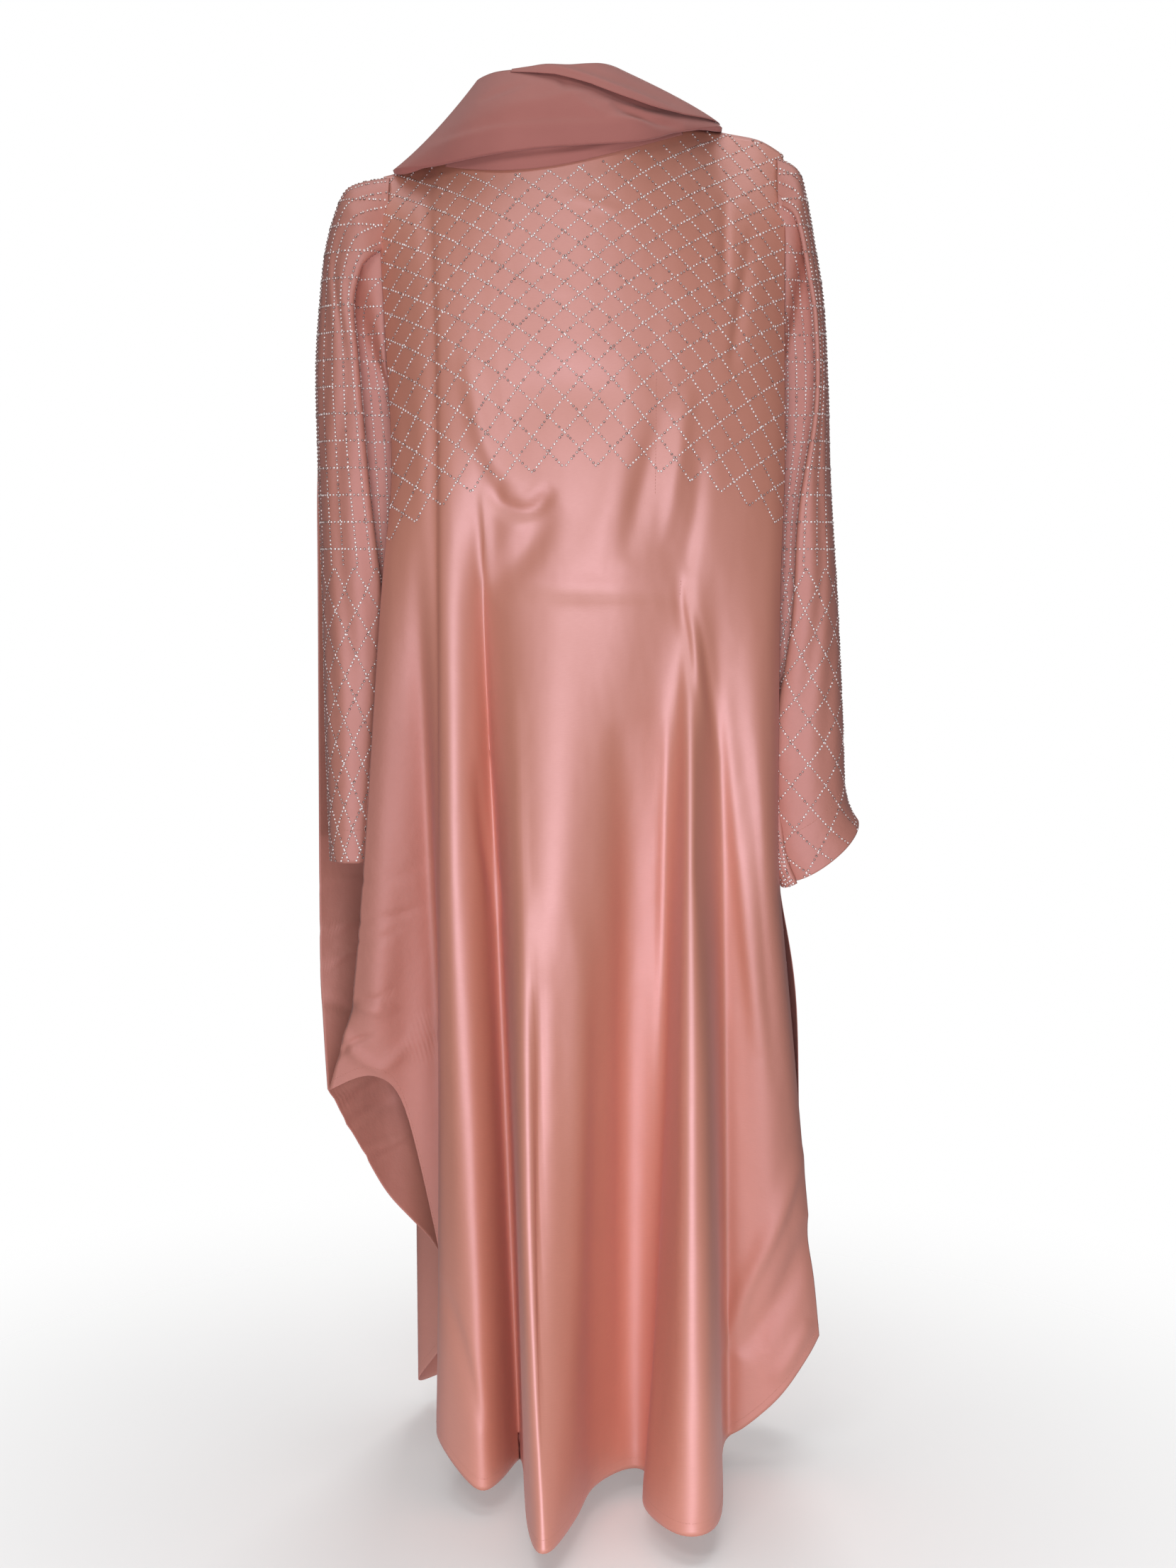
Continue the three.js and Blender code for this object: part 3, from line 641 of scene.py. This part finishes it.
def drape(station, height):
    """The drape at stations round the neck and shares of its height: a curve from the lower edge to the
    upper one that passes through the belly point."""
    low, belly, high = np.array(NECK_DRAPE, dtype=float).transpose(1, 0, 2)[:, None]
    low, belly, high = (spline(part, station.ravel(), ring=True)[0] for part in (low, belly, high))
    share = height.ravel()[:, None]
    first = low + (belly - low) * share
    second = belly + (high - belly) * share
    bow = (belly - (low + high) / 2) * 2 * share * (1 - share)
    return (first + (second - first) * share + bow).reshape(*station.shape, 3) * MM


def folded(points, outward, table):
    """A neck stretch with its creases, which fade out where it turns away from the front."""
    return points + (creases(points, outward, table) - points) * ramp(-outward[..., 1:2], 0, 0.4)


mauve_crepe = crepe("mauve crepe")
stations, heights = np.meshgrid(
    np.linspace(0, len(NECK_DRAPE), DRAPE_COLUMNS, endpoint=False),
    np.linspace(1, 0, DRAPE_ROWS + 1),
)
drape_points = drape(stations, heights)
# Soft folds of the drape, which run from its top at the right down to the left shoulder.
DRAPE_CREASES = [
    ([(-20, 64), (28, 45), (70, 30), (104, 22)], -2.5, 6, 6),
    ([(-60, 70), (-6, 48), (44, 34), (100, 30)], -2.6, 6, 7),
    ([(-108, 36), (-84, 44), (-56, 52)], -1.6, 5, 5),
    ([(-96, 22), (-40, 30), (10, 44), (34, 38)], 1.5, 7, 7),
    ([(-160, 0), (-110, 6), (-50, 12), (20, 16), (80, 26)], -1.8, 7, 5),
    ([(-170, -8), (-110, -2), (-50, 3), (30, 6), (92, 20)], 1.6, 5, 5),
    ([(28, 30), (61, 18), (84, 13), (104, 11)], -6, 5, 6),
    ([(2, 20), (40, 12), (76, 6)], 2.2, 6, 6),
    ([(-10, 36), (4, 24), (22, 14)], 1.6, 5, 5),
    ([(-34, 78), (-22, 60), (-16, 40)], -1.4, 5, 5),
]
drape_outward = facing(drape_points, ring=True)
drape_points = folded(drape_points, drape_outward, DRAPE_CREASES) + drape_outward * WALL
# Its lower edge is turned in, to the nearest place on the panels, where it is sewn down. In front it
# is only tucked a little, and lies loose over the under stretch.
TURNED = np.linspace(0.16, 0.96, 6)[:, None, None]  # shares of the way to the panels
SHOULDER_ROWS = 50  # rows of the panels that the edge can be sewn to
SEAM_SOFTENED = 8
beside = [part[:SHOULDER_ROWS, ::2].reshape(-1, 3) for part in (front_points, back_points)]
beside = np.concatenate(beside)
edge = drape_points[-1]
seam = beside[np.linalg.norm(edge[:, None] - beside, axis=2).argmin(axis=1)]
seam = soften(seam[None], SEAM_SOFTENED, ring=True)[0]
tucked = 0.2 + 0.8 * ramp(edge[:, 1:2] / MM, -50, 10)
drape_points = np.concatenate([drape_points, edge + (seam - edge) * tucked * TURNED])
drape_cloth = lay("drape_cloth", drape_points, mauve_crepe, ring=True, thick=CREPE_THICK)
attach(drape_cloth, "root")
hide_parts("neck_drape")

# The upper stretch bulges a little between its edges, and lies close to the drape at both its ends.
ROLL = 1.6 * MM
END_LIFT = 1.1 * MM
START_FADE, END_FADE = 2.2, 0.9  # how far from each end, in stations, the cloth is fully lifted
CROSSING_GRID = (121, 25)  # points along and down
first, last = CROSSING_EDGE[[0, -1], 0]
along, down = CROSSING_GRID
stations, down_share = np.meshgrid(np.linspace(first, last, along), np.linspace(0, 1, down))
crossing_points = drape(stations, 1 + (np.interp(stations, *CROSSING_EDGE.T) - 1) * down_share)
loose = np.sin(np.pi / 2 * ramp(stations, first, first + START_FADE))
loose = loose * np.sin(np.pi / 2 * ramp(stations, last, last - END_FADE))
lift = END_LIFT + loose * (LAP_GAP + WALL - END_LIFT + ROLL * np.sin(np.pi * down_share))
crossing_points = crossing_points + facing(crossing_points) * (WALL + lift)[..., None]
# Folds that run along the upper stretch to the shoulder, and its soft rolled edge.
CROSSING_CREASES = [
    ([(-40, 84), (0, 72), (50, 56), (106, 38)], -2, 5, 7),
    ([(-20, 90), (30, 78), (70, 62), (120, 36)], 1.6, 8, 6),
    ([(-52, 78), (-10, 66), (28, 52), (64, 40), (104, 28)], 1.8, 4, 4),
]
crossing_points = folded(crossing_points, facing(crossing_points), CROSSING_CREASES)
crossing_cloth = lay("crossing_cloth", crossing_points, mauve_crepe, thick=CREPE_THICK)
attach(crossing_cloth, "root")
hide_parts("neck_crossing")

UNDER_GRID = (113, 17)
low, high = np.array(UNDER_STRETCH, dtype=float).transpose(1, 0, 2)[:, None] * MM
places = np.linspace(0, len(UNDER_STRETCH) - 1, UNDER_GRID[0])
low, high = spline(low, places), spline(high, places)
under_points = high + (low - high) * np.linspace(0, 1, UNDER_GRID[1])[:, None, None]
under_points = under_points + facing(under_points) * WALL
# Two flat folds that lie along the under stretch.
UNDER_CREASES = [
    ([(-130, -24), (-90, -20), (-40, -18), (20, -8), (70, 8), (98, 18)], -1.6, 3, 4),
    ([(-100, -30), (-50, -28), (0, -20), (50, -6), (88, 8)], 1.4, 4, 3),
]
under_points = creases(under_points, facing(under_points), UNDER_CREASES)
under_cloth = lay("under_cloth", under_points, mauve_crepe, thick=CREPE_THICK)
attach(under_cloth, "root")
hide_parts("neck_under")

# The stones
# Small faceted glass stones with a foiled back, heat-set one by one in a lattice of crossing lines that
# covers the yoke down to a zigzag edge, both sleeves down to the cuffs, and the back yoke.
STONE_RADIUS = 1.5 * MM
STONE_PITCH = 4.2 * MM
STONE_SIDES = 6
STONE_SINK = 0.15 * MM
STONE_TABLE = 0.64  # the flat top's radius and height, as shares of the stone's radius
STONE_HEIGHT = 0.62
STONE_TILT = 0.1
STONE_SIZES = (0.92, 1.05)
# range of strength of the painted highlight on each stone's top
STONE_GLINTS = (0.4, 1)
LINE_STEP = 0.6 * MM
NEWTON_STEPS = 20
FOUND_WITHIN = 0.1 * MM
seeded = np.random.default_rng(7)


def read_grid(grid, rows, columns):
    """A grid read at fractional rows and columns, straight between its points."""
    j = np.clip(np.floor(rows).astype(int), 0, grid.shape[0] - 2)
    i = np.clip(np.floor(columns).astype(int), 0, grid.shape[1] - 2)
    down, along = (rows - j)[:, None], (columns - i)[:, None]
    top = grid[j, i] * (1 - along) + grid[j, i + 1] * along
    low = grid[j + 1, i] * (1 - along) + grid[j + 1, i + 1] * along
    return top * (1 - down) + low * down


def find_on(field, wanted):
    """Where a grid of number pairs has the wanted values: Newton's steps from a straight guess. Gives
    rows, columns and whether each was found closely enough."""
    last_row, last_column = field.shape[0] - 1, field.shape[1] - 1
    middle = field[:, last_column // 2, 1]
    falling = np.sign(middle[-1] - middle[0])
    rows = np.interp(wanted[:, 1] * falling, middle * falling, np.arange(last_row + 1))
    ends = read_grid(field[:, [0, last_column]], rows, np.zeros(len(rows)))[:, 0]
    other = read_grid(field[:, [0, last_column]], rows, np.ones(len(rows)))[:, 0]
    columns = np.clip((wanted[:, 0] - ends) / (other - ends), 0, 1) * last_column
    by_row, by_column = np.gradient(field, axis=0), np.gradient(field, axis=1)
    for _ in range(NEWTON_STEPS):
        error = wanted - read_grid(field, rows, columns)
        down, along = read_grid(by_row, rows, columns), read_grid(by_column, rows, columns)
        whole = down[:, 0] * along[:, 1] - down[:, 1] * along[:, 0]
        row_step = (error[:, 0] * along[:, 1] - error[:, 1] * along[:, 0]) / whole
        column_step = (down[:, 0] * error[:, 1] - down[:, 1] * error[:, 0]) / whole
        rows = np.clip(rows + np.clip(row_step, -6, 6), 0, last_row)
        columns = np.clip(columns + np.clip(column_step, -6, 6), 0, last_column)
    error = np.linalg.norm(wanted - read_grid(field, rows, columns), axis=1)
    return rows, columns, error < FOUND_WITHIN


def spaced(at, up, found, pitch):
    """Those points of a line, and their outward directions, that lie an even pitch apart along it."""
    steps = np.linalg.norm(np.diff(at, axis=0), axis=1)
    steps = np.where(found[1:] & found[:-1], steps, 0)
    run = summed(steps)
    chosen = np.unique(np.searchsorted(run, np.arange(pitch / 2, run[-1], pitch)))
    chosen = chosen[chosen < len(found)]
    chosen = chosen[found[chosen]]
    return at[chosen], up[chosen]


def row_on(field, points, outward, wanted, pitch, keep=True):
    """Places and outward directions at an even pitch along a line of number pairs on a grid."""
    rows, columns, found = find_on(field, wanted)
    return spaced(read_grid(points, rows, columns), read_grid(outward, rows, columns), found & keep, pitch)


def set_stones(name, lines, material, cloth):
    """Makes one mesh of all stones: each a closed six-sided cut stone, turned and tilted a little."""
    places = np.concatenate([line[0] for line in lines])
    up = np.concatenate([line[1] for line in lines])
    up = unit(up + seeded.normal(0, STONE_TILT, up.shape))
    size = STONE_RADIUS * seeded.uniform(*STONE_SIZES, len(places))[:, None, None]
    turn = seeded.uniform(0, 2 * np.pi, len(places))[:, None]
    angle = np.linspace(0, 2 * np.pi, STONE_SIDES, endpoint=False) + turn
    first = unit(np.cross(up, (0.3, 0.1, 1)))[:, None]
    second = np.cross(up, first[:, 0])[:, None]
    ring = first * np.cos(angle)[..., None] + second * np.sin(angle)[..., None]
    base = places[:, None] + ring * size - up[:, None] * STONE_SINK
    table = places[:, None] + ring * size * STONE_TABLE + up[:, None] * size * STONE_HEIGHT
    corners = np.concatenate([base, table], axis=1)
    k = np.arange(STONE_SIDES)
    following = (k + 1) % STONE_SIDES
    sides = np.stack([k, following, following + STONE_SIDES, k + STONE_SIDES], axis=1)
    step = (np.arange(len(places)) * 2 * STONE_SIDES)[:, None]
    parts = [part + step for part in (sides.ravel(), k + STONE_SIDES, k[::-1])]
    sizes = np.repeat([4, STONE_SIDES], [sides.shape[0] * len(places), 2 * len(places)])
    mesh = meshed(name, corners, np.concatenate([part.ravel() for part in parts]), sizes)
    # Painted light: each stone's flat top gets a painted highlight of random strength, and its base ring
    # painted shade.
    tone = mesh.attributes.new("tone", "FLOAT", "POINT")
    bright = seeded.uniform(*STONE_GLINTS, len(places))[:, None, None]
    tone.data.foreach_set("value", (bright * np.array([[0], [1]]) + np.zeros(STONE_SIDES)).ravel())
    added(mesh, material, cloth)


stone_glass, start, shader = finish_nodes("stone glass")
tone = start.node("ShaderNodeAttribute", {"attribute_name": "tone"}, {}, output="Fac")
# Painted light on the stones: dark painted shade at the base runs up to a pale painted highlight at the
# top.
stops = [
    (0.0, (0.10, 0.05, 0.045)),
    (0.35, (0.30, 0.19, 0.17)),
    (0.6, (0.88, 0.72, 0.68)),
    (1.0, (1, 0.96, 0.94)),
]
shade = start.node("ShaderNodeValToRGB", {"stops": stops}, {"Fac": tone})
fill(shader, {"Base Color": shade, "Metallic": 0.15, "Roughness": 0.2})

# The yoke's lattice. Both families of lines fall towards the middle from a side, ever more steeply:
# depth = whole number times pitch + slope times bend times (exp(distance / bend) - 1).
LATTICE_PITCH = 36 * MM
LATTICE_SLOPE = 1.11
LATTICE_BEND = 350 * MM
LATTICE_MIDDLE = 14 * MM
ZIGZAG_HEIGHT = -342.4 * MM
YOKE_STRETCH = 1.38  # the lattice is closer in height above the bust
STRETCH_FROM = -280 * MM
STRETCH_FULL = -170 * MM
LATTICE_HEIGHTS = np.linspace(60 * MM, -620 * MM, 1400)
LATTICE_ACROSS = np.arange(-230 * MM, 230 * MM, LINE_STEP)
LATTICE_LINES = range(-26, 16)
YOKE_ROWS = 100  # rows of a panel that the lattice can reach


def lattice_lines(points, outward, neck_edge):
    """All lines of both families over a panel, kept above the zigzag and below the neck cloth."""
    height, x = LATTICE_HEIGHTS, LATTICE_ACROSS
    share = ramp(height, STRETCH_FROM, STRETCH_FULL)
    stretch = 1 + (YOKE_STRETCH - 1) * share * share * (3 - 2 * share)
    depth = summed(-np.diff(height) * (stretch[1:] + stretch[:-1]) / 2)
    depth = depth - np.interp(-ZIGZAG_HEIGHT, -height, depth)
    away = x - LATTICE_MIDDLE
    lines = []
    for sign in (1, -1):
        fall_here = LATTICE_SLOPE * LATTICE_BEND * (np.exp(sign * away / LATTICE_BEND) - 1)
        fall_other = LATTICE_SLOPE * LATTICE_BEND * (np.exp(-sign * away / LATTICE_BEND) - 1)
        for k in LATTICE_LINES:
            deep = k * LATTICE_PITCH + fall_here
            z = np.interp(deep, depth, height)
            above_zigzag = k + (deep - fall_other) / LATTICE_PITCH <= 0.02
            inside = (deep > depth[0]) & (deep < depth[-1]) & (z < np.interp(x, *neck_edge))
            wanted = np.stack([x, z], axis=1)
            keep = above_zigzag & inside
            if keep.any():
                lines.append(row_on(points[..., [0, 2]], points, outward, wanted, STONE_PITCH, keep))
    return lines


front_yoke = front_points[:YOKE_ROWS]
# x, z of the line above which the neck cloth covers the panels.
FRONT_NECK_EDGE = np.array([
    (-230, 40), (-150, -28), (-120, -36), (-89, -41), (-52, -41), (-10, -35),
    (32, -24), (70, -11), (104, 4), (140, 40), (230, 60),
]).T * MM
yoke_lines = lattice_lines(front_yoke, facing(front_yoke), FRONT_NECK_EDGE)
set_stones("yoke_stones", yoke_lines, stone_glass, front)
back_yoke = back_points[:YOKE_ROWS]
BACK_NECK_EDGE = np.array([
    (-230, 40), (-154, -24), (-72, -14), (30, -6), (114, 12), (150, 40), (230, 60),
]).T * MM
back_lines = lattice_lines(back_yoke, facing(back_yoke, side=-1), BACK_NECK_EDGE)
set_stones("back_yoke_stones", back_lines, stone_glass, back)

# The sleeves' lattice has level rows and straight columns above the elbow, which is how the square
# net hangs, and tall diamonds from there to the cuff.
SQUARE = (18 * MM, 28.4 * MM)
DIAMOND = (28 * MM, 46 * MM)
ELBOW = 445 * MM  # below the shoulder, as the cuff is
CUFF_BELOW = 800 * MM
for side_name, (ring, outward, arm) in sleeves.items():
    around = laid_out(ring)[..., 0].mean(axis=0)
    field = np.stack([np.broadcast_to(around, ring.shape[:2]), -ring[..., 2]], axis=-1)
    first, last = around[0], around[-1]
    along = np.arange(first, last, LINE_STEP)
    levels = range(1, int(ELBOW / SQUARE[1]) + 1)
    net = [(along, 0 * along + k * SQUARE[1], True) for k in levels]
    down = np.arange(0, ELBOW, LINE_STEP)
    net += [(0 * down + across, down, True) for across in np.arange(first, last, SQUARE[0])]
    down = np.arange(ELBOW, CUFF_BELOW, LINE_STEP)
    slant = (down - ELBOW) * DIAMOND[0] / DIAMOND[1]
    for sign in (1, -1):
        for start_across in np.arange(first - slant[-1], last + slant[-1], DIAMOND[0]):
            across = start_across + sign * slant
            net.append((across, down, (across > first) & (across < last)))
    lines = []
    for *pair, keep in net:
        lines.append(row_on(field, ring, outward, np.stack(pair, axis=1), STONE_PITCH, keep))
    set_stones(f"{side_name}_sleeve_stones", lines, stone_glass, arm)

# The stitching
# Lockstitch in a matching thread: one row round each cuff and along each lower hem, the seam of the
# dart on the wearer's left, and a short bar at each waist pinch.
STITCH_PITCH = 3.2 * MM
STITCH_LENGTH = 2.5 * MM
THREAD_RADIUS = 0.32 * MM
CUFF_HEM = 25 * MM
LOWER_HEM = 12 * MM
HEM_PLACES = 4000  # places tried along a hem, and along a short row
ROW_PLACES = 400
WAIST_ROWS = 140  # rows of the front down to below the waist
DART = [(75.5, -233), (75, -300), (74, -372)]
WAIST_BARS = [[(101, -458), (100, -474)], [(-100, -460), (-101, -476)]]


def hem_row(points, outward, inset):
    """A row of stitches an inset above a grid's lower edge: as many rows up as the inset holds steps."""
    columns = np.linspace(0, points.shape[1] - 1, HEM_PLACES)
    step = np.linalg.norm(points[-1] - points[-2], axis=1)
    rows = len(points) - 1 - inset / np.interp(columns, np.arange(len(step)), step)
    at, up = read_grid(points, rows, columns), read_grid(outward, rows, columns)
    return spaced(at, up, np.ones(len(at), dtype=bool), STITCH_PITCH)


def stitch_row(points, outward, path):
    """A row of stitches along a line through x, z points of the front."""
    path = np.array(path) * MM
    steps = np.linspace(0, len(path) - 1, ROW_PLACES)
    wanted = np.stack([np.interp(steps, np.arange(len(path)), path[:, axis]) for axis in (0, 1)], axis=1)
    return row_on(points[..., [0, 2]], points, outward, wanted, STITCH_PITCH)


def set_stitches(name, rows, material, cloth):
    """Makes one mesh of all stitches: each a spindle with two ends and four sides round its middle."""
    places = np.concatenate([row[0] for row in rows])
    up = unit(np.concatenate([row[1] for row in rows]))
    way = unit(np.concatenate([np.gradient(row[0], axis=0) for row in rows]))
    across = np.cross(up, way)
    half, wide, high = way * STITCH_LENGTH / 2, across * THREAD_RADIUS, up * THREAD_RADIUS
    corners = places[:, None] + np.stack([-half, half, wide, high, -wide, -high], axis=1)
    k = np.arange(4) + 2
    following = (k - 1) % 4 + 2
    sides = [np.stack([0 * k, following, k], axis=1), np.stack([0 * k + 1, k, following], axis=1)]
    faces = np.concatenate(sides)[None] + (np.arange(len(places)) * corners.shape[1])[:, None, None]
    added(meshed(name, corners, faces, np.full(faces.size // 3, 3)), material, cloth)


rose_thread, start, shader = finish_nodes("rose thread")
place = start.node("ShaderNodeTexCoord", {}, {}, output="Object")
twist = noise(start, place, 1800.0, 1.0)
shade = blend(start, twist, (0.50, 0.205, 0.150, 1), (0.70, 0.36, 0.29, 1))
fill(shader, {"Base Color": shade, "Roughness": 0.42 + twist * 0.2})
front_outward = facing(front_points)
front_rows = [hem_row(front_points, front_outward, LOWER_HEM)]
for path in [DART, *WAIST_BARS]:
    front_rows.append(stitch_row(front_points[:WAIST_ROWS], front_outward[:WAIST_ROWS], path))
set_stitches("front_stitches", front_rows, rose_thread, front)
back_rows = [hem_row(back_points, facing(back_points, side=-1), LOWER_HEM)]
set_stitches("back_stitches", back_rows, rose_thread, back)
for side_name, (ring, outward, arm) in sleeves.items():
    set_stitches(f"{side_name}_cuff_stitches", [hem_row(ring, outward, CUFF_HEM)], rose_thread, arm)

# The studio
# A pale matt floor that fades into a white surround, soft lights in front, above and behind, and a
# level camera at the height of the waist whose frame is shifted down to take in the hem.
FLOOR_HEIGHT = -1.43
FLOOR_REACH = 3.4
FLOOR_GLOW = 0.22  # lifts the paper towards the white of the surround
FADE_FROM = 0.2
FADE_TO = 1.2
studio_paper, start, shader = finish_nodes("studio paper")
place = start.node("ShaderNodeTexCoord", {}, {}, output="Object")
flat_place = start.node("ShaderNodeVectorMath", {"operation": "MULTIPLY"}, {0: place, 1: (1, 1, 0)})
away = start.node("ShaderNodeVectorMath", {"operation": "LENGTH"}, {0: flat_place}, output="Value")
fade = start.node(
    "ShaderNodeMapRange",
    {"interpolation_type": "SMOOTHSTEP"},
    {"Value": away, "From Min": FADE_FROM, "From Max": FADE_TO, "To Min": 1.0, "To Max": 0.0},
)
fill(shader, {
    "Alpha": fade,
    "Base Color": (0.92, 0.92, 0.92, 1),
    "Roughness": 0.9,
    "Emission Color": (1, 1, 1, 1),
    "Emission Strength": FLOOR_GLOW,
})
reach = np.array([-FLOOR_REACH, FLOOR_REACH])
across, away = np.meshgrid(reach, reach)
floor_points = np.stack([across, away, np.full(across.shape, FLOOR_HEIGHT)], axis=-1)
lay("floor", floor_points, studio_paper, side=-1, thick=0)

# The surround lights the cloth weakly, and is white where it is seen.
SURROUND = 0.12
SURROUND_SEEN = 0.9
world = bpy.data.worlds.new("studio")
world.use_nodes = True
background = world.node_tree.nodes["Background"]
seen = Socket(world.node_tree).node("ShaderNodeLightPath", {}, {}, output="Is Camera Ray")
fill(background, {"Color": (0.98, 0.98, 0.98, 1), "Strength": seen * SURROUND_SEEN + SURROUND})
bpy.context.scene.world = world


def lamp(name, place, aim, width, height, power, colour=(1, 1, 1)):
    """A rectangular soft light that faces a point."""
    light = bpy.data.lights.new(name, "AREA")
    light.shape = "RECTANGLE"
    light.size = width
    light.size_y = height
    light.energy = power
    light.color = colour
    made = bpy.data.objects.new(name, light)
    made.location = place
    made.rotation_euler = (Vector(aim) - Vector(place)).to_track_quat("-Z", "Y").to_euler()
    bpy.context.scene.collection.objects.link(made)


LILAC = (1.0, 0.9, 1.0)
lamp("front light", (0.0, -2.9, -0.75), (0, 0, -0.85), 1.6, 1.3, 27)
lamp("low light", (0.1, -2.5, -1.3), (0, 0, -1.25), 1.5, 0.24, 26, LILAC)
lamp("high light", (-0.6, -2.5, 1.3), (0, 0, -0.3), 1.2, 0.8, 15)
lamp("back light", (0.5, 3.0, 0.4), (0, 0, -0.7), 1.2, 1.6, 34)
lamp("top light", (0, 0, 3.2), (0, 0, 0), 3.0, 3.0, 62)
bpy.context.scene.view_settings.view_transform = "Standard"

IMAGE = (1659, 2212)
FOCAL = 3092  # pixels
HORIZON = 800  # the row of the picture at the camera's height
SENSOR = 36
CAMERA_PLACE = (0.0057, -2.35, -0.445)
camera_data = bpy.data.cameras.new("camera")
camera_data.sensor_fit = "VERTICAL"
camera_data.sensor_height = SENSOR
camera_data.lens = SENSOR * FOCAL / IMAGE[1]
camera_data.shift_y = (HORIZON - IMAGE[1] / 2) / IMAGE[1]
camera = bpy.data.objects.new("camera", camera_data)
camera.location = CAMERA_PLACE
camera.rotation_euler = (np.pi / 2, 0, 0)
bpy.context.scene.collection.objects.link(camera)
bpy.context.scene.camera = camera
